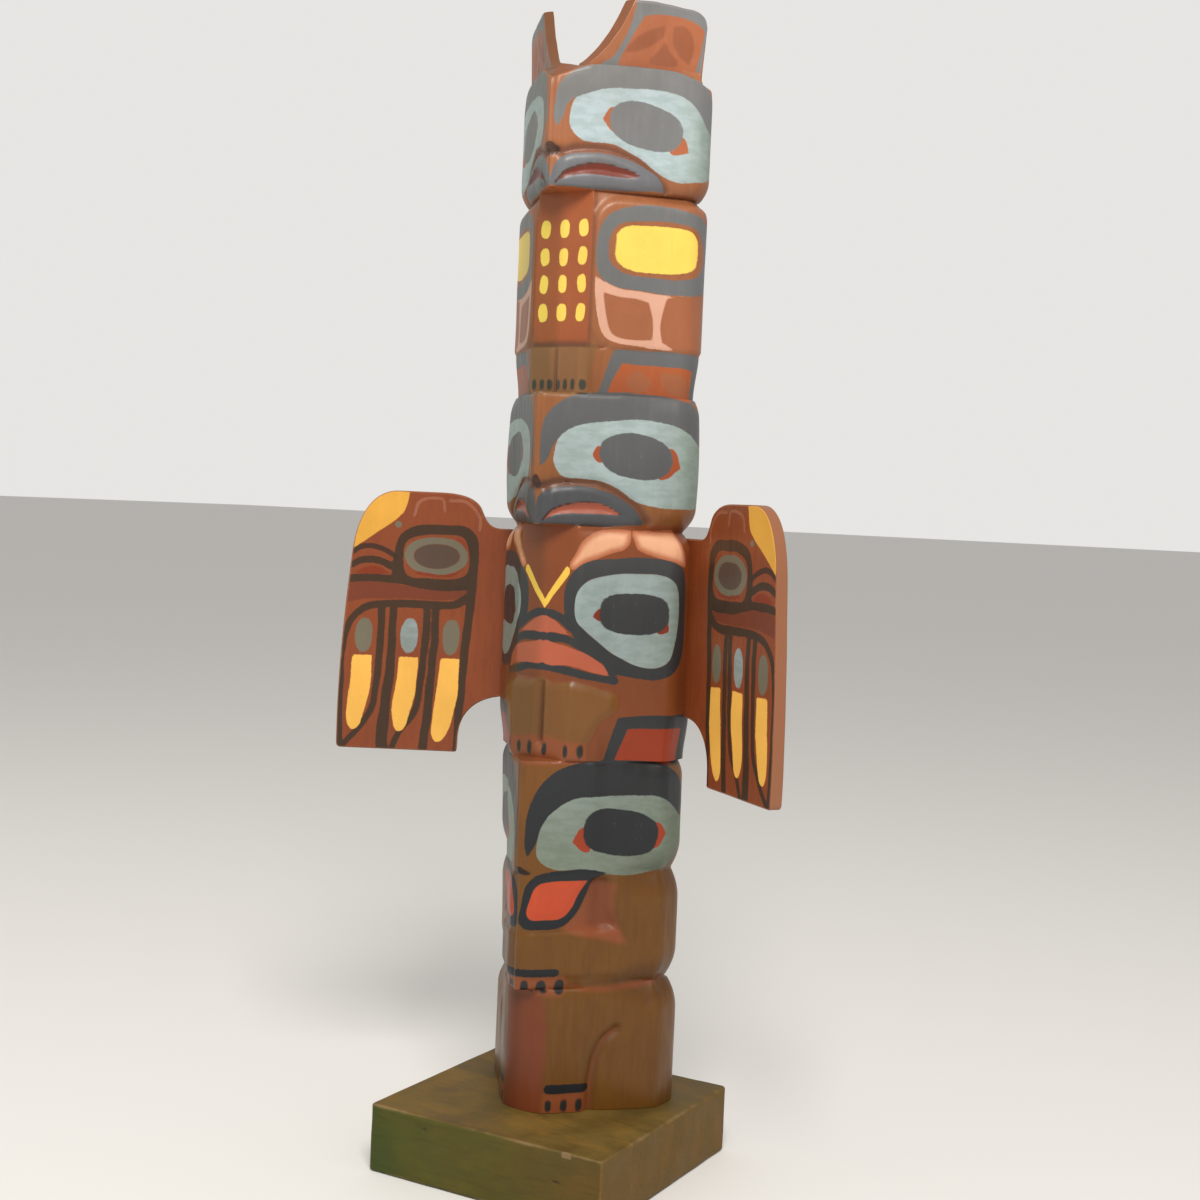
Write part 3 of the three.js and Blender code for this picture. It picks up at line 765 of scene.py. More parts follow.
def pole_mesh():
    heights = row_heights()
    x, y, s, nx, ny = bare_log(heights)
    z = np.broadcast_to(heights[:, None], x.shape)
    half = x.shape[1]
    place = np.stack([mirrored(x, -1.0), mirrored(y), mirrored(z)], axis=-1).reshape(-1, 3)
    shaky = 0.28 * ripple(place, 23.0, 1)
    shaky_z = 0.28 * ripple(place, 19.0, 2)
    left_or_right = mirrored(np.ones(s.shape), -1.0).ravel()
    body = Surface(mirrored(s).ravel() + shaky, mirrored(z).ravel() + shaky_z, left_or_right)
    height = upper_head(body) + middle_head(body) + lower_head(body)
    height = height + upper_body(body) + bird(body) + lower_body(body)
    height = height + grooves(
        mirrored(s).ravel(), place[:, 2]
    ) - worn_edge(mirrored(s).ravel(), place[:, 2])
    height += 0.08 * ripple(place, 16.0, 3) + 0.03 * ripple(place * [1, 1, 0.4], 6.0, 4)
    s_all = mirrored(s).ravel()
    out = np.stack([mirrored(nx, -1.0).ravel(), mirrored(ny).ravel()], axis=1)
    fade = rise(0, 7, s_all)
    px = place[:, 0] + out[:, 0] * height * fade
    py = place[:, 1] + out[:, 1] * height * mix(0.35, 1.0, fade)
    nose = under_nose(place[:, 2]) * rise(12, 4, s_all)
    py = py + 1.6 * bump(place[:, 0], 3) + nose
    limit = front_limit(place[:, 0], place[:, 2]) + np.minimum(
        0.0, -0.5 * height * rise(60, 30, s_all) + 0.2
    )
    py = soft_max(py, limit, np.where(place[:, 2] < PAWS, 8.0, 1.2))
    rows = len(heights)
    px = px.reshape(rows, -1)
    py = py.reshape(rows, -1)

    top_x, top_y, top_s = px[-1, :half], py[-1, :half], s[-1]
    crown, outer_rows, ear_rows = crown_paths(top_x, top_y, top_s, heights[-1])
    cx = mirrored(crown[:, 0], -1.0)
    cy = mirrored(crown[:, 1])
    cz = mirrored(crown[:, 2])
    crown_s = np.broadcast_to(mirrored(top_s[None, :]), cx.shape).copy()
    crown_s[ear_rows:] = -99.0
    on_ear = np.zeros(cx.shape, bool)
    on_ear[outer_rows:ear_rows] = True
    on_ear &= (crown_s >= 21.9) & (crown_s <= 86.9)
    crown_z = cz.copy()
    lip = np.zeros(cx.shape, bool)
    lip[:outer_rows] = True
    crown_z[~(on_ear | lip)] = 700.0
    roof = Surface(crown_s.ravel(), crown_z.ravel())
    upper_head(roof)
    ear_paint(roof, on_ear.ravel())
    roof.put("roof", np.where((on_ear | lip).ravel(), FAR, -FAR))

    points = np.concatenate([
        np.stack([px, py, mirrored(z)], axis=-1).reshape(-1, 3),
        np.stack([cx, cy, cz], axis=-1).reshape(-1, 3),
    ])
    points[len(px.ravel()):] += 0.12 * np.stack(
        [ripple(points[len(px.ravel()):], 11.0, k) for k in (5, 6, 7)], axis=1
    )
    colours = {}
    for name in COLOUR_ORDER:
        low = body.colours.get(name, np.full(len(body.q), FAR))
        high = roof.colours.get(name, np.full(len(roof.q), FAR))
        colours[name] = np.concatenate([low, high])
    colours["depth"] = np.concatenate([height, np.zeros(len(roof.q))])
    colours["round"] = np.concatenate([s_all, crown_s.ravel()])
    ring = px.shape[1]
    count = rows + len(crown)
    faces = grid_faces(count, ring)
    low, high = len(points), len(points) + 1
    points = np.concatenate([points, [[0, CORE_Y, FOOT], [0, CORE_Y, NOTCH]]])
    c = np.arange(ring)
    n = (c + 1) % ring
    last = (count - 1) * ring
    fans = [
        np.stack([np.full(ring, low), n, c], axis=1),
        np.stack([np.full(ring, high), last + c, last + n], axis=1)
    ]
    colours = {name: np.concatenate([v, [FAR, FAR]]) for name, v in colours.items()}
    return points, [*faces, *fans[0].tolist(), *fans[1].tolist()], colours


def grid_faces(rows, ring):
    r, c = np.meshgrid(np.arange(rows - 1), np.arange(ring), indexing="ij")
    a = r * ring + c
    b = r * ring + (c + 1) % ring
    return np.stack([a, b, b + ring, a + ring], axis=-1).reshape(-1, 4).tolist()


# ---- Wings -----------------------------------------------------------------------------------------------
SWEEP = radians(33.54)
WING_FACE = 53.2
WING_THICKNESS = 7.0
WING_GAP = 0.3


def bezier(points, steps):
    t = np.linspace(0, 1, steps, endpoint=False)[:, None]
    p = [np.array(q, float) for q in points]
    if len(p) == 2:
        return mix(p[0], p[1], t)
    if len(p) == 3:
        return (1 - t) ** 2 * p[0] + 2 * t * (1 - t) * p[1] + t**2 * p[2]
    return (1 - t) ** 3 * p[0] + 3 * t * (1 - t) ** 2 * p[1] + 3 * t**2 * (1 - t) * p[2] + t**3 * p[3]


def wing_outline():
    """Outline in the wing's plane, anticlockwise from the neck's lower inner corner."""
    inner, neck, low, high = 12.0, 38.6, 259.6, 359.4
    tip, bottom, top = 139.6, 225.0, 379.4
    pieces = [
        ([(inner, low), (neck, low)], 22),
        ([(neck, low), (neck + 16, low - 0.4), (67, low - 9), (67.4, bottom + 8)], 42),
        ([(67.4, bottom + 8), (67.6, bottom + 1)], 5),
        ([(67.6, bottom + 1), (67.6, bottom), (69, bottom)], 3),
        ([(69, bottom), (tip - 3, bottom)], 52), ([(tip - 3, bottom), (tip, bottom), (tip, bottom + 3)], 5),
        (
            [(tip, bottom + 3), (tip + 0.6, bottom + 44), (tip - 2, bottom + 82), (tip - 5.7, top - 36.5)],
            90
        ),
        ([(tip - 5.7, top - 36.5), (tip - 7.6, top - 18), (tip - 15, top), (tip - 32.6, top)], 42),
        ([(tip - 32.6, top), (82, top)], 18),
        ([(82, top), (70, top), (62, top - 2.6), (58.6, top - 8.2)], 22),
        ([(58.6, top - 8.2), (55.5, high + 5), (54, high), (neck + 7, high)], 17),
        ([(neck + 7, high), (inner, high)], 26),
        ([(inner, high), (inner, low)], 60),
    ]
    return np.concatenate([bezier(points, steps) for points, steps in pieces])


def inset(outline, amount):
    ahead = np.roll(outline, -1, axis=0) - outline
    behind = outline - np.roll(outline, 1, axis=0)
    tangent = ahead / np.linalg.norm(ahead, axis=1)[:, None] + behind / np.linalg.norm(
        behind, axis=1
    )[:, None]
    tangent /= np.linalg.norm(tangent, axis=1)[:, None]
    return outline + amount * np.stack([-tangent[:, 1], tangent[:, 0]], axis=1)


def wing_mesh(side):
    outline = wing_outline()
    n = len(outline)
    rim = inset(outline, 0.7)
    step = 1.3
    low, high = rim.min(axis=0), rim.max(axis=0)
    u, z = np.meshgrid(np.arange(low[0] + 0.6, high[0], step), np.arange(low[1] + 0.6, high[1], step))
    fill = np.stack([u.ravel(), z.ravel()], axis=1)
    distance, _, inside = from_line(fill, rim, True)
    fill = fill[inside & (distance > 0.7)]
    flat = np.concatenate([rim, fill])
    edges = [(i, (i + 1) % n) for i in range(n)]
    made = delaunay_2d_cdt([tuple(q) for q in flat.tolist()], edges, [list(range(n))], 1, 1e-5)
    flat = np.array([tuple(v) for v in made[0]])
    triangles = np.array([f for f in made[2] if len(f) == 3])
    count = len(flat)
    rings = [(outline, 0.7), (outline, 3.5), (outline, WING_THICKNESS - 0.7)]
    across = [flat]
    depth = [np.zeros(count)]
    for line, deep in rings:
        across.append(line)
        depth.append(np.full(n, deep))
    across.append(flat)
    depth.append(np.full(count, WING_THICKNESS))
    across = np.concatenate(across)
    depth = np.concatenate(depth)
    start = [count, count + n, count + 2 * n]
    back = count + 3 * n
    k = np.arange(n)
    m = (k + 1) % n
    faces = triangles.tolist() + (triangles[:, ::-1] + back).tolist()
    bands = [
        (k, m, start[0]), (start[0] + k, start[0] + m, start[1]), (start[1] + k, start[1] + m, start[2])
    ]
    for first, second, base in bands:
        faces += np.stack([second, first, base + k, base + m], axis=1).tolist()
    faces += np.stack([start[2] + m, start[2] + k, back + k, back + m], axis=1).tolist()
    local = np.stack([across[:, 0], depth, across[:, 1]], axis=1)
    depth = depth + 0.12 * ripple(local + [0, 0, 400 * side], 30.0, 11)
    out = np.array([cos(SWEEP), -sin(SWEEP), 0.0])
    behind = np.array([sin(SWEEP), cos(SWEEP), 0.0])
    points = np.outer(across[:, 0], out) + np.outer(WING_FACE + WING_GAP + depth, behind)
    points[:, 2] = across[:, 1]
    if side < 0:
        points[:, 0] *= -1
        faces = [f[::-1] for f in faces]
    shaky = 0.25 * ripple(points, 17.0, 12)
    paint = Surface(across[:, 0] + shaky, across[:, 1] + 0.25 * ripple(points, 15.0, 13))
    wing_paint(paint)
    front = depth < 0.35
    colours = {}
    for name in COLOUR_ORDER:
        distance = paint.colours.get(name, np.full(len(across), FAR))
        colours[name] = np.where(front, distance, FAR)
    colours["edge"] = np.where(front, from_edge(across, outline), 3.0)
    colours["face"] = np.where(front, 1.0, 0.0)
    return points, faces, colours


def from_edge(across, outline):
    distance, _, _ = from_line(across, outline, True)
    return np.minimum(distance, FAR)


def wing_paint(paint):
    """Eye and beak above, three long feathers below, a yellow patch on the upper outer corner."""
    paint.area(
        "patch",
        [
            (100, 384, 0), (103.4, 368.5), (109.5, 361.5), (120, 354), (128, 348), (134, 343.4, 0),
            (150, 345, 0), (145, 384, 0)
        ]
    )
    ring = paint.ovoid(None, (84, 341.4), (18.6, 11.4), -1, 2.2)
    iris = paint.ovoid("umber", (83.6, 341.4), (13.4, 7.4), -2, 2.1)
    paint.put("greyteal", np.maximum(ring, -iris))
    inner = paint.area(
        None,
        [
            (103.6, 341), (101, 350), (91.5, 353.8), (76, 354.4), (68, 352.6), (64.6, 344), (64.8, 333),
            (70, 328.8), (89, 328), (101, 329.4)
        ],
    )
    paint.area(
        "black",
        [
            (109.6, 328, 0), (109, 343), (105, 354), (94, 359.6), (77, 360.2), (66, 359.2), (60, 353),
            (58.8, 345), (58.8, 333), (60, 322, 0), (80, 321), (100, 323)
        ],
        without=inner,
    )
    paint.area(
        "orange",
        [(96.5, 331), (92, 329.6), (80, 329), (72, 330.5), (68, 336), (71, 333), (80, 330.6), (90, 331.4)]
    )
    paint.area("orange", [(66, 346), (68, 351.5), (73, 352.6), (69, 349)])
    paint.stroke("dark", [(135, 341.4), (129, 345), (122, 346), (114, 344), (108, 340.5)], 3.4, 3.0)
    paint.stroke("black", [(136, 333.6), (128, 337.4), (118, 337.6), (109, 334)], 3.6, 4.4)
    paint.area("orange", [(132.6, 329.2, 0), (126, 333.4), (117.5, 334), (110.5, 330, 0), (120, 329.2)])
    paint.stroke(
        "black", [(140, 325.6), (123, 327), (108, 326.6), (98, 325.4), (86, 324.2), (74, 325.2), (64, 328)],
        4.6, 5.2
    )
    paint.area(
        "stripe",
        [
            (139, 323, 0), (123, 324.6), (108, 324), (88, 321.4), (74, 322.2), (64.5, 325.4, 0), (64, 321),
            (68, 317.6), (74, 315.9), (90, 315.2), (108, 315.2), (124, 314.2), (139, 311, 0)
        ],
    )
    paint.stroke(
        "black",
        [
            (137.6, 283), (136.8, 291), (134.6, 299), (130.4, 305), (124, 309.6), (113, 312), (100, 312.4),
            (85, 312.4), (72, 313), (63, 318)
        ], 3.6, 5.0
    )
    paint.stroke("black", [(137.6, 289), (138.4, 271), (138.6, 253), (138.4, 235), (138, 222)], 3.8, 5.0)
    paint.stroke(
        "black", [(61.5, 340), (62.4, 316), (64, 298), (65.4, 276), (66.6, 256), (67.2, 241), (68, 222)],
        5.4, 4.4
    )
    paint.stroke(
        "black", [(115, 311), (115.2, 293), (116, 275), (117.4, 260), (120, 247), (127, 236.6), (136, 226)],
        4.6, 3.4
    )
    paint.stroke(
        "black", [(108.2, 311), (108.4, 290), (109.2, 272), (110.8, 254), (112.2, 238), (112.4, 222)], 4.2,
        7.4
    )
    paint.stroke(
        "black", [(88, 312), (88.4, 294), (89.8, 276), (91.2, 259), (94.4, 246), (102, 236.6), (107, 224)],
        4.6, 3.4
    )
    paint.stroke(
        "black", [(82.6, 312), (83, 294), (84, 276), (85.2, 258), (86.4, 240), (88.4, 222)], 4.0, 5.6
    )
    for colour, u, z in (("greyteal", 125.3, 292.6), ("teal", 98.2, 293.4), ("greyteal", 73.4, 293.4)):
        paint.ovoid(colour, (u, z), (5.2, 10.4), 2, 2.2)
    for top, tip in ((125.6, 131.2), (98.2, 104), (73.4, 80.2)):
        drop = 236 if tip > 90 else 230.4
        paint.area(
            "yellow",
            [
                (top - 5.6, 280.6, 0), (top + 5.6, 280.8, 0), (top + 6.8, 266), (tip + 2.8, drop + 12),
                (tip + 1.8, drop + 3),
                (tip - 1.4, drop), (tip - 5.6, drop + 4), (top - 3.4, drop + 18), (top - 5.2, 262),
            ],
        )
    paint.stroke("faint", [(98, 365), (95, 373), (85, 376), (81, 375), (80, 368)], 1.8)
    paint.stroke("faint", [(77, 375), (67, 374), (59, 366), (59, 358)], 1.8)
    paint.area("greyteal", [(107, 361.2), (109.4, 359.4), (107, 357.4), (104.8, 359.2)])


# ---- Plinth ----------------------------------------------------------------------------------------------
PLINTH_SIDE = 148.6
PLINTH_HEIGHT = 38.0
PLINTH_TURN = radians(3.54)


def rounded_square(half, radius, per_side, per_corner):
    """Anticlockwise from the front left corner's end of the front side."""
    points = []
    for k in range(4):
        turn = k * pi / 2
        c, s = cos(turn), sin(turn)
        straight = [(x, -half) for x in np.linspace(-half + radius, half - radius, per_side)]
        arc = []
        for i in range(1, per_corner):
            a = -pi / 2 + pi / 2 * i / per_corner
            arc.append((half - radius + radius * cos(a), -half + radius + radius * sin(a)))
        points += [(c * x - s * y, s * x + c * y) for x, y in straight + arc]
    return np.array(points)


def plinth_mesh():
    half = PLINTH_SIDE / 2
    radius = 1.3
    levels = []
    for a in np.linspace(0, pi / 2, 5):
        levels.append((radius * (1 - cos(a)), PLINTH_HEIGHT - radius + radius * sin(a)))
    sides = [(0.0, z) for z in np.linspace(PLINTH_HEIGHT - radius, radius, 26)[1:-1]]
    profile = [(scale_in, PLINTH_HEIGHT) for scale_in in (60, 45, 32, 24, 18, 13, 9, 6.5, 4.5, 3, 2.2)]
    profile += levels[::-1] + sides
    profile += [(radius * (1 - cos(a)), radius - radius * sin(a)) for a in np.linspace(0, pi / 2, 4)]
    profile += [(6.0, 0.0), (30.0, 0.0), (60.0, 0.0)]
    rows = []
    for inward, height in profile:
        corner = max(1.2, 2.2 - 0.2 * inward)
        ring = rounded_square(half - inward, corner, 96, 5)
        rows.append(np.column_stack([ring, np.full(len(ring), height)]))
    rows = np.array(rows)[::-1]
    count, ring = rows.shape[:2]
    points = rows.reshape(-1, 3)
    centre = np.array([0, 0, PLINTH_HEIGHT / 2])
    edge_x = half - np.abs(points[:, 0])
    edge_y = half - np.abs(points[:, 1])
    edge_z = np.minimum(points[:, 2], PLINTH_HEIGHT - points[:, 2])
    near = np.sort(np.stack([edge_x, edge_y, edge_z], axis=1), axis=1)[:, 1]
    wear = np.maximum(0, 1 - near / 2.6) * (0.25 + 0.35 * np.maximum(0, ripple(points, 21.0, 31)))
    chips = Surface(points[:, 0], points[:, 1])
    chip = chips.area(
        None,
        [(50, -half + 0.5), (52, -half + 1.2), (55.4, -half + 0.3), (55, -half - 3), (50.6, -half - 3)]
    )
    spot = chips.ovoid(None, (-44.8, -46.3), (2.2, 1.2))
    wear += 0.8 * rise(0.6, -0.8, chip) * (points[:, 2] > PLINTH_HEIGHT - 4)
    direction = (points - centre) * np.where(near[:, None] < 3, 1, 0)
    direction /= np.maximum(np.linalg.norm(direction, axis=1), 1e-6)[:, None]
    points = points - direction * wear[:, None]
    front = Surface(np.where(points[:, 1] < -half + 0.5, points[:, 0], 500), points[:, 2])
    check_1 = front.stroke(None, [(44.1, 21.8), (49, 20.6), (53.4, 20.3)], 1.1, 0.5)
    check_2 = front.stroke(None, [(-41.7, 32), (-38.6, 31.4), (-35.6, 30.5)], 0.9, 0.4)
    check = np.minimum(check_1, check_2)
    points[:, 1] += 1.1 * rise(0.9, -0.5, check)
    points[:, :2] += 0.06 * np.stack([ripple(points, 16.0, 32), ripple(points, 16.0, 33)], axis=1)
    c, s = cos(PLINTH_TURN), sin(PLINTH_TURN)
    turned = points.copy()
    turned[:, 0] = c * points[:, 0] - s * points[:, 1]
    turned[:, 1] = s * points[:, 0] + c * points[:, 1]
    turned[:, 2] = np.maximum(points[:, 2], 0.0)
    faces = grid_faces(count, ring)
    last = (count - 1) * ring
    faces.append(list(range(ring))[::-1])
    faces.append(list(range(last, last + ring)))
    worn = np.maximum(0, 1 - near / 3.2)
    values = {
        "worn": worn, "check": check,
        "chip": np.where(points[:, 2] > PLINTH_HEIGHT - 3, np.minimum(chip, spot), FAR)
    }
    return turned, faces, values


# ---- Making objects --------------------------------------------------------------------------------------
def make_piece(name, points, faces, values, material, smooth_angle):
    mesh = bpy.data.meshes.new(name)
    mesh.from_pydata((np.asarray(points) * MM).tolist(), [], faces)
    mesh.update()
    for key, value in values.items():
        layer = mesh.attributes.new(key, "FLOAT", "POINT")
        layer.data.foreach_set("value", np.asarray(value, dtype=np.float32))
    mesh.materials.append(material)
    mesh.shade_smooth()
    mesh.set_sharp_from_angle(angle=radians(smooth_angle))
    piece = bpy.data.objects.new(name, mesh)
    bpy.context.scene.collection.objects.link(piece)
    return piece


# ---- Materials -------------------------------------------------------------------------------------------
# Each colour at four heights from the foot up: low on the pole it is darker and richer, partly painted shade
# as the light falls from above, partly paint faded paler higher up.
# A colour later in the order lies over the ones before it.
COLOUR_ORDER = (
    "rust", "olive", "wine", "toe", "crease", "teal", "greyteal", "stripe", "pale", "orange", "black",
    "pink",
    "leaf", "lip", "red", "dark", "patch", "yellow", "claw", "umber", "faint", "roof",
)
POLE_GROUND = [(0.138, 0.053, 0.004), (0.19, 0.070, 0.013), (0.30, 0.108, 0.040), (0.36, 0.130, 0.055)]
COLOURS = {
    "rust": [(0.12, 0.034, 0.008), (0.19, 0.05, 0.014), (0.32, 0.085, 0.025), (0.36, 0.095, 0.03)],
    "olive": [(0.13, 0.058, 0.01), (0.185, 0.074, 0.019), (0.225, 0.105, 0.04), (0.24, 0.115, 0.045)],
    "wine": [(0.165, 0.036, 0.01), (0.165, 0.036, 0.01), (0.2, 0.05, 0.02), (0.2, 0.05, 0.02)],
    "toe": [(0.26, 0.062, 0.022), (0.24, 0.062, 0.024), (0.22, 0.07, 0.035), (0.22, 0.07, 0.035)],
    # Dark brown of the grooves, steps and splits: painted shade.
    "crease": [(0.045, 0.016, 0.008), (0.065, 0.022, 0.012), (0.12, 0.045, 0.026), (0.15, 0.055, 0.032)],
    "teal": [(0.155, 0.185, 0.13), (0.29, 0.36, 0.37), (0.38, 0.46, 0.47), (0.44, 0.53, 0.57)],
    "greyteal": [(0.15, 0.145, 0.10)] * 4,
    "stripe": [(0.16, 0.035, 0.013)] * 4,
    "pale": [(0.45, 0.16, 0.07), (0.44, 0.135, 0.058), (0.5, 0.2, 0.1), (0.5, 0.2, 0.1)],
    "orange": [(0.34, 0.04, 0.008), (0.19, 0.020, 0.002), (0.4, 0.1, 0.03), (0.38, 0.12, 0.05)],
    "black": [(0.006, 0.008, 0.012), (0.032, 0.034, 0.036), (0.125, 0.128, 0.132), (0.185, 0.185, 0.186)],
    "pink": [(0.64, 0.35, 0.25)] * 4,
    "leaf": [(0.22, 0.06, 0.025), (0.26, 0.08, 0.03), (0.34, 0.115, 0.05), (0.28, 0.085, 0.036)],
    "lip": [(0.03, 0.03, 0.035), (0.05, 0.05, 0.055), (0.085, 0.09, 0.10), (0.18, 0.18, 0.19)],
    "red": [(0.45, 0.05, 0.012), (0.4, 0.105, 0.055), (0.17, 0.028, 0.014), (0.16, 0.026, 0.014)],
    "dark": [(0.020, 0.009, 0.006), (0.030, 0.012, 0.008), (0.07, 0.03, 0.02), (0.09, 0.04, 0.028)],
    "patch": [(0.76, 0.39, 0.053)] * 4,
    "yellow": [(0.75, 0.44, 0.06), (0.80, 0.50, 0.07), (0.86, 0.60, 0.10), (0.88, 0.64, 0.12)],
    "claw": [(0.016, 0.016, 0.015), (0.022, 0.024, 0.020), (0.045, 0.045, 0.032), (0.05, 0.05, 0.04)],
    "umber": [(0.08, 0.055, 0.04)] * 4,
    "faint": [(0.55, 0.28, 0.19)] * 4,
    "roof": [(0.22, 0.08, 0.035)] * 4,
}
WING_GROUND = [(0.24, 0.055, 0.015)] * 4
WING_COLOURS = {
    **COLOURS,
    "black": [(0.034, 0.021, 0.010)] * 4,
    "dark": [(0.040, 0.018, 0.011)] * 4,
    "yellow": [(0.92, 0.50, 0.09)] * 4,
}
SOFTNESS = {
    "crease": 1.8, "toe": 2.0, "leaf": 0.9, "claw": 0.6, "wine": 4.5, "olive": 0.8
}  # of an edge, mm
THICKNESS = {"faint": 0.22, "crease": 0.8, "toe": 0.72, "leaf": 0.9}  # how much of the wood a colour hides
STOPS = (0.14, 0.32, 0.46, 0.62)


class Tree:
    """Short names for making shader nodes."""

    def __init__(self, material):
        material.use_nodes = True
        self.nodes = material.node_tree.nodes
        self.links = material.node_tree.links
        self.nodes.clear()

    def node(self, kind, inputs=None, **settings):
        made = self.nodes.new(kind)
        for key, value in settings.items():
            setattr(made, key, value)
        for key, value in (inputs or {}).items():
            self.feed(made.inputs[key], value)
        return made

    def feed(self, socket, value):
        if isinstance(value, bpy.types.NodeSocket):
            self.links.new(value, socket)
        else:
            socket.default_value = value

    def math(self, operation, *values):
        made = self.node("ShaderNodeMath", operation=operation)
        for socket, value in zip(made.inputs, values):
            self.feed(socket, value)
        return made.outputs[0]

    def span(self, value, low, high, to_low=0.0, to_high=1.0, smooth=True):
        made = self.node("ShaderNodeMapRange", interpolation_type="SMOOTHSTEP" if smooth else "LINEAR")
        for key, item in zip(
            ("Value", "From Min", "From Max", "To Min", "To Max"), (value, low, high, to_low, to_high)
        ):
            self.feed(made.inputs[key], item)
        return made.outputs["Result"]

    def attribute(self, name):
        return self.node("ShaderNodeAttribute", attribute_name=name).outputs["Fac"]

    def noise(self, vector, scale, detail=3.0, roughness=0.55):
        inputs = {"Vector": vector, "Scale": scale, "Detail": detail, "Roughness": roughness}
        return self.node("ShaderNodeTexNoise", inputs).outputs["Fac"]

    def stretched(self, vector, scale):
        return self.node("ShaderNodeMapping", {"Vector": vector, "Scale": scale}).outputs["Vector"]

    def blend(self, share, under, over, kind="MIX"):
        made = self.node("ShaderNodeMix", data_type="RGBA", blend_type=kind)
        self.feed(made.inputs[0], share)
        self.feed(made.inputs[6], under if isinstance(under, bpy.types.NodeSocket) else (*under, 1.0))
        self.feed(made.inputs[7], over if isinstance(over, bpy.types.NodeSocket) else (*over, 1.0))
        return made.outputs[2]

    def by_height(self, height, colours):
        ramp = self.node("ShaderNodeValToRGB", {"Fac": height})
        elements = ramp.color_ramp.elements
        elements[0].position, elements[1].position = STOPS[0], STOPS[-1]
        for stop in STOPS[1:-1]:
            elements.new(stop)
        for element, colour in zip(elements, colours):
            element.color = (*colour, 1.0)
        return ramp.outputs["Color"]


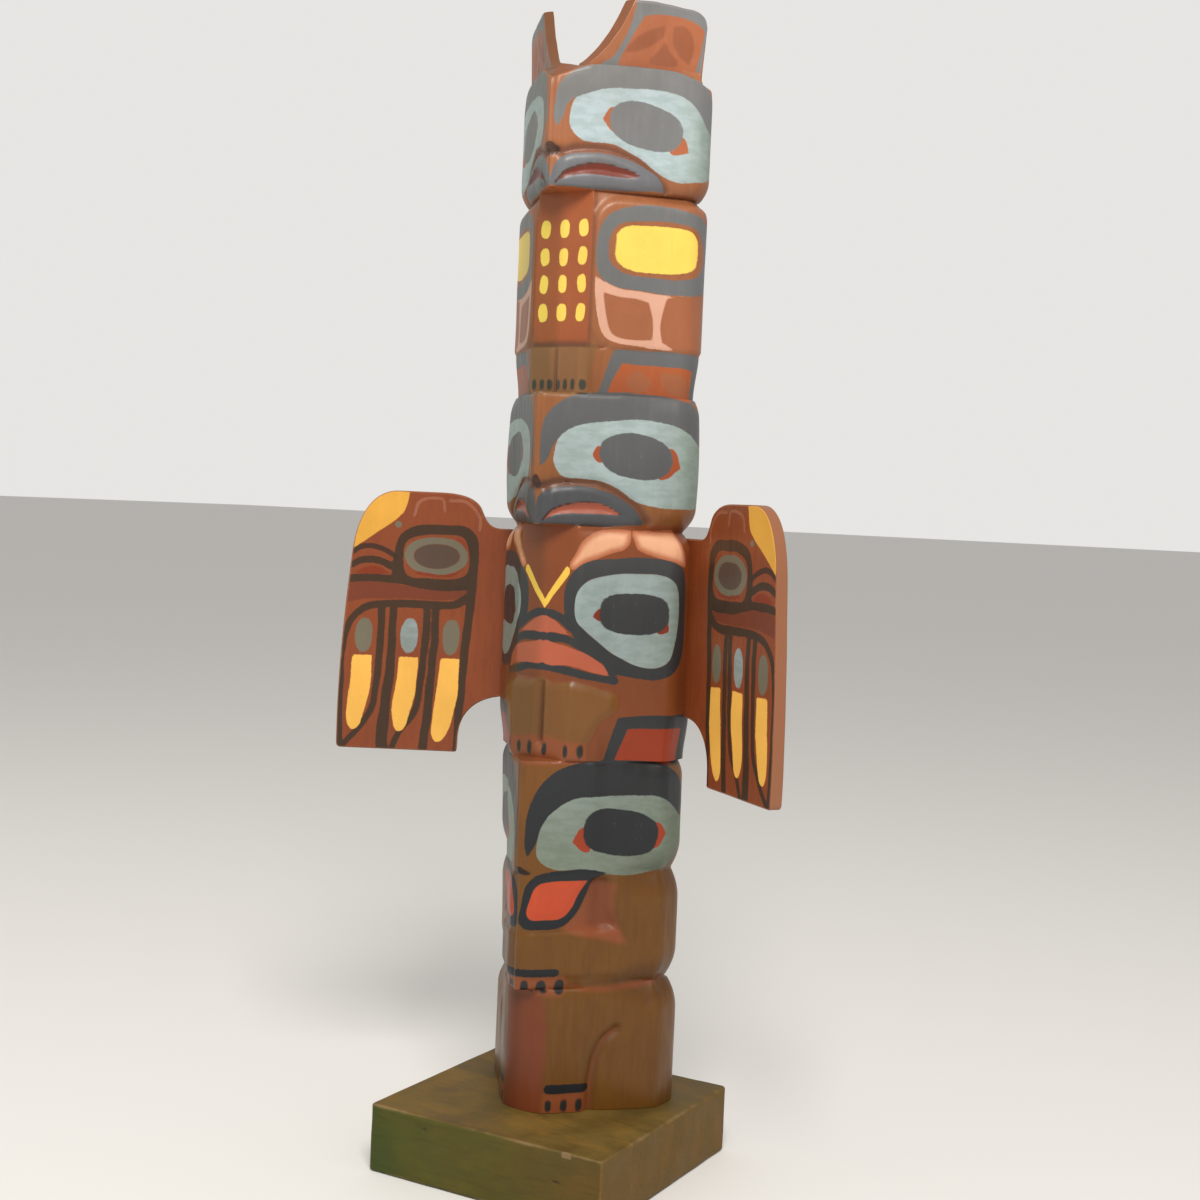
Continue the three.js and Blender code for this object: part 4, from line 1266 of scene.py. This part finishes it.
def painted_wood(name, ground, paints, pole):
    """Brushed and varnished paint on wood. Each colour's edge comes from its distance on the surface."""
    material = bpy.data.materials.new(name)
    t = Tree(material)
    where = t.node("ShaderNodeTexCoord").outputs["Object"]
    place = t.node("ShaderNodeSeparateXYZ", {"Vector": where})
    height = place.outputs["Z"]
    wobble = t.math("MULTIPLY", t.math("SUBTRACT", t.noise(where, 420.0, 2.0), 0.5), 0.8)
    grain = t.noise(t.stretched(where, (1.0, 1.0, 0.07)), 900.0, 4.0, 0.6)
    streak = t.noise(t.stretched(where, (1.0, 1.0, 0.16)), 300.0, 3.0, 0.6)
    brush = t.noise(t.stretched(where, (0.35, 0.35, 1.0)), 260.0, 3.0, 0.6)
    blotch = t.noise(where, 22.0, 3.0)
    fine = t.noise(where, 1100.0, 2.0)
    # Ground and colours darker towards the foot: partly painted shade from light falling from above, partly
    # paint faded paler higher up.
    colour = t.by_height(height, ground)
    darker = t.blend(1.0, colour, (0.70, 0.62, 0.55), "MULTIPLY")
    colour = t.blend(t.span(streak, 0.40, 0.72, 0.0, 0.45), colour, darker)
    worn_through = t.math("ADD", t.math("MULTIPLY", streak, 0.5), t.math("MULTIPLY", brush, 0.5))
    for key in COLOUR_ORDER:
        if key == "roof" and not pole:
            continue
        distance = t.math("ADD", t.attribute(key), wobble)
        half_edge = SOFTNESS.get(key, 0.32)
        share = t.span(distance, half_edge, -half_edge)
        full = THICKNESS.get(key, 1.0 if pole else 0.92)
        share = t.math("MULTIPLY", share, t.span(worn_through, 0.60, 0.74, full, full * 0.78))
        shade = t.by_height(height, paints[key])
        if key == "teal":
            bare = t.blend(1.0, shade, (0.72, 0.75, 0.70), "MULTIPLY")
            shade = t.blend(t.span(brush, 0.36, 0.64, 0.55, 0.0), shade, bare)
            if pole:
                # The teal darker towards the back of each socket, round the cheek.
                dimmed = t.blend(1.0, shade, (0.62, 0.63, 0.50), "MULTIPLY")
                shade = t.blend(t.span(t.attribute("round"), 58.0, 106.0), shade, dimmed)
        if key == "pale":
            light = t.blend(1.0, shade, (1.65, 2.6, 3.4), "MULTIPLY")
            shade = t.blend(t.span(distance, -0.4, -4.2), shade, light)
        colour = t.blend(share, colour, shade)
    darker = t.blend(1.0, colour, (0.74, 0.72, 0.68), "MULTIPLY")
    colour = t.blend(t.span(blotch, 0.30, 0.70, 0.5, 0.0), colour, darker)
    lighter = t.blend(1.0, colour, (1.22, 1.20, 1.14), "MULTIPLY")
    colour = t.blend(t.span(streak, 0.52, 0.76, 0.0, 0.30), colour, lighter)
    speck = t.blend(1.0, colour, (0.6, 0.58, 0.55), "MULTIPLY")
    colour = t.blend(t.span(fine, 0.60, 0.75, 0.0, 0.25), colour, speck)
    if pole:
        # Painted shade: the wood darkened in the deeper grooves and recesses of the carving.
        shaded = t.blend(1.0, colour, (0.46, 0.40, 0.36), "MULTIPLY")
        colour = t.blend(t.span(t.attribute("depth"), -1.6, -5.0, 0.0, 0.45), colour, shaded)
        # Painted shade: the left front flank, turned away from the light, darkened towards olive grey.
        dimmed = t.blend(1.0, colour, (0.72, 0.80, 0.70), "MULTIPLY")
        left = t.span(place.outputs["X"], 0.002, -0.006, 0.0, 0.85)
        front = t.span(place.outputs["Y"], 0.016, -0.008)
        colour = t.blend(t.math("MULTIPLY", left, front), colour, dimmed)
    else:
        colour = t.blend(t.span(t.attribute("face"), 0.9, 0.3), colour, (0.27, 0.105, 0.050))
        edge = t.math("ADD", t.attribute("edge"), t.math("MULTIPLY", wobble, 0.8))
        worn = t.math("MULTIPLY", t.span(edge, 1.05, 0.45), t.span(blotch, 0.34, 0.60, 0.25, 0.85))
        colour = t.blend(worn, colour, (0.42, 0.22, 0.13))
    rough = t.span(streak, 0.3, 0.8, 0.36, 0.50)
    bump_height = t.math("ADD", t.math("MULTIPLY", grain, 0.5), t.math("MULTIPLY", streak, 0.8))
    bumps = t.node("ShaderNodeBump", {"Height": bump_height, "Distance": 0.0002, "Strength": 0.30})
    shader = t.node(
        "ShaderNodeBsdfPrincipled", {"Base Color": colour, "Roughness": rough, "Normal": bumps.outputs[0]}
    )
    shader.inputs["Coat Weight"].default_value = 0.12
    shader.inputs["Coat Roughness"].default_value = 0.20
    shader.inputs["Specular IOR Level"].default_value = 0.30
    output = t.node("ShaderNodeOutputMaterial")
    t.links.new(shader.outputs[0], output.inputs["Surface"])
    return material


def stained_wood(name):
    """Green stain, olive tan on the top face and rubbed to olive tan on the arrises, browner towards the
    right.
    """
    material = bpy.data.materials.new(name)
    t = Tree(material)
    where = t.node("ShaderNodeTexCoord").outputs["Object"]
    place = t.node("ShaderNodeSeparateXYZ", {"Vector": where})
    normal = t.node("ShaderNodeSeparateXYZ", {"Vector": t.node("ShaderNodeNewGeometry").outputs["Normal"]})
    grain = t.noise(t.stretched(where, (0.10, 1.0, 1.0)), 420.0, 5.0, 0.65)
    blotch = t.noise(where, 26.0, 4.0, 0.6)
    cloth = t.noise(t.stretched(where, (0.4, 1.0, 0.4)), 70.0, 4.0, 0.6)
    across = t.math("ADD", place.outputs["X"], t.math("MULTIPLY", t.math("SUBTRACT", blotch, 0.5), 0.08))
    face = t.blend(t.span(across, -0.075, -0.02), (0.036, 0.052, 0.001), (0.066, 0.057, 0.002))
    face = t.blend(t.span(across, 0.0, 0.075), face, (0.078, 0.047, 0.003))
    top = t.blend(t.span(blotch, 0.35, 0.65), (0.088, 0.054, 0.008), (0.145, 0.088, 0.015))
    colour = t.blend(t.span(normal.outputs["Z"], 0.4, 0.8), face, top)
    side = t.math("MULTIPLY", t.span(normal.outputs["X"], 0.5, 0.8), 0.85)
    colour = t.blend(side, colour, (0.125, 0.068, 0.007))
    colour = t.blend(
        t.span(cloth, 0.42, 0.66, 0.0, 0.55), colour, t.blend(1.0, colour, (1.45, 1.25, 0.95), "MULTIPLY")
    )
    colour = t.blend(
        t.span(grain, 0.45, 0.72, 0.0, 0.45), colour, t.blend(1.0, colour, (0.62, 0.60, 0.55), "MULTIPLY")
    )
    worn = t.math("MULTIPLY", t.attribute("worn"), t.span(blotch, 0.35, 0.65, 0.2, 0.9))
    colour = t.blend(t.span(worn, 0.25, 0.95, 0.0, 0.7), colour, (0.26, 0.17, 0.08))
    colour = t.blend(t.span(t.attribute("chip"), 0.6, -0.4, 0.0, 0.8), colour, (0.20, 0.13, 0.06))
    colour = t.blend(t.span(t.attribute("check"), 0.5, -0.3, 0.0, 0.85), colour, (0.012, 0.008, 0.004))
    bump_height = t.math("ADD", grain, t.math("MULTIPLY", cloth, 0.5))
    bumps = t.node("ShaderNodeBump", {"Height": bump_height, "Distance": 0.0003, "Strength": 0.45})
    rough = t.span(blotch, 0.3, 0.7, 0.55, 0.70)
    shader = t.node(
        "ShaderNodeBsdfPrincipled", {"Base Color": colour, "Roughness": rough, "Normal": bumps.outputs[0]}
    )
    shader.inputs["Specular IOR Level"].default_value = 0.35
    output = t.node("ShaderNodeOutputMaterial")
    t.links.new(shader.outputs[0], output.inputs["Surface"])
    return material


# ---- Setting ---------------------------------------------------------------------------------------------
CAMERA_PLACE = (0.5451, -0.8126, 0.3737)
CAMERA_HEADING = radians(-33.04)
CAMERA_PITCH = radians(-2.995)
CAMERA_ROLL = radians(2.56)
LENS = 52.06
FLOOR_REACH = 40.0
FLOOR_DROP = 0.0003  # keeps the floor clear of the plinth's underside
ROOM_LIGHT = 0.55
ROOM_SEEN = 0.80  # how bright the room looks behind the object


def set_camera():
    """To the right of the front, a little above the pole's middle, turned slightly clockwise."""
    heading, pitch, roll = CAMERA_HEADING, CAMERA_PITCH, CAMERA_ROLL
    ahead = np.array([sin(heading) * cos(pitch), cos(heading) * cos(pitch), sin(pitch)])
    level = np.array([cos(heading), -sin(heading), 0.0])
    up = np.cross(level, ahead)
    right = cos(roll) * level + sin(roll) * up
    top = -sin(roll) * level + cos(roll) * up
    data = bpy.data.cameras.new("camera")
    data.lens = LENS
    data.sensor_width = 36.0
    camera = bpy.data.objects.new("camera", data)
    matrix = Matrix.Identity(4)
    for row in range(3):
        matrix[row][0] = right[row]
        matrix[row][1] = top[row]
        matrix[row][2] = -ahead[row]
    matrix.translation = CAMERA_PLACE
    camera.matrix_world = matrix
    bpy.context.scene.collection.objects.link(camera)
    bpy.context.scene.camera = camera


def area_light(name, place, target, size, power, colour):
    data = bpy.data.lights.new(name, "AREA")
    data.shape = "RECTANGLE"
    data.size, data.size_y = size
    data.energy = power
    data.color = colour
    light = bpy.data.objects.new(name, data)
    bpy.context.scene.collection.objects.link(light)
    direction = Matrix.Translation(target).translation - Matrix.Translation(place).translation
    light.matrix_world = Matrix.Translation(place) @ direction.to_track_quat("-Z", "Y").to_matrix().to_4x4()


def set_stage():
    mesh = bpy.data.meshes.new("floor")
    reach = FLOOR_REACH
    mesh.from_pydata(
        [(-reach, -reach, 0), (reach, -reach, 0), (reach, reach, 0), (-reach, reach, 0)], [], [(0, 1, 2, 3)]
    )
    material = bpy.data.materials.new("pale floor")
    t = Tree(material)
    shader = t.node("ShaderNodeBsdfPrincipled")
    shader.inputs["Base Color"].default_value = (0.80, 0.785, 0.76, 1.0)
    shader.inputs["Roughness"].default_value = 0.8
    output = t.node("ShaderNodeOutputMaterial")
    t.links.new(shader.outputs[0], output.inputs["Surface"])
    mesh.materials.append(material)
    floor = bpy.data.objects.new("floor", mesh)
    floor.location = (0, 0, -FLOOR_DROP)
    bpy.context.scene.collection.objects.link(floor)
    world = bpy.data.worlds.new("studio")
    world.use_nodes = True
    background = world.node_tree.nodes["Background"]
    background.inputs["Color"].default_value = (1.0, 0.985, 0.96, 1.0)
    seen = world.node_tree.nodes.new("ShaderNodeLightPath").outputs["Is Camera Ray"]
    brightness = world.node_tree.nodes.new("ShaderNodeMapRange")
    brightness.inputs["To Min"].default_value = ROOM_LIGHT
    brightness.inputs["To Max"].default_value = ROOM_SEEN
    world.node_tree.links.new(seen, brightness.inputs["Value"])
    world.node_tree.links.new(brightness.outputs["Result"], background.inputs["Strength"])
    bpy.context.scene.world = world
    area_light("key", (0.85, -1.15, 1.75), (0, 0, 0.45), (0.8, 0.8), 38.0, (1.0, 0.965, 0.91))
    area_light("fill", (-1.4, -0.9, 0.9), (0, 0, 0.3), (1.2, 1.2), 4.0, (1.0, 0.97, 0.93))
    bpy.context.scene.view_settings.view_transform = "Standard"


# ---- The object ------------------------------------------------------------------------------------------
set_camera()
set_stage()
pole_paint = painted_wood("painted wood", POLE_GROUND, COLOURS, True)
wing_stain = painted_wood("wing wood", WING_GROUND, WING_COLOURS, False)
plinth_stain = stained_wood("stained wood")

pieces = [
    ("totem_plinth", plinth_mesh(), plinth_stain, 50, "plinth", "stained_wood"),
    ("totem_pole", pole_mesh(), pole_paint, 62, "pole", "painted_wood"),
    ("totem_wing_right", wing_mesh(1), wing_stain, 35, "wing_right", "wing_wood"),
    ("totem_wing_left", wing_mesh(-1), wing_stain, 35, "wing_left", "wing_wood"),
]
for name, (points, faces, values), material, angle, node, slot_name in pieces:
    piece = make_piece(name, points, faces, values, material, angle)
    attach(piece, "root")
    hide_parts(node)
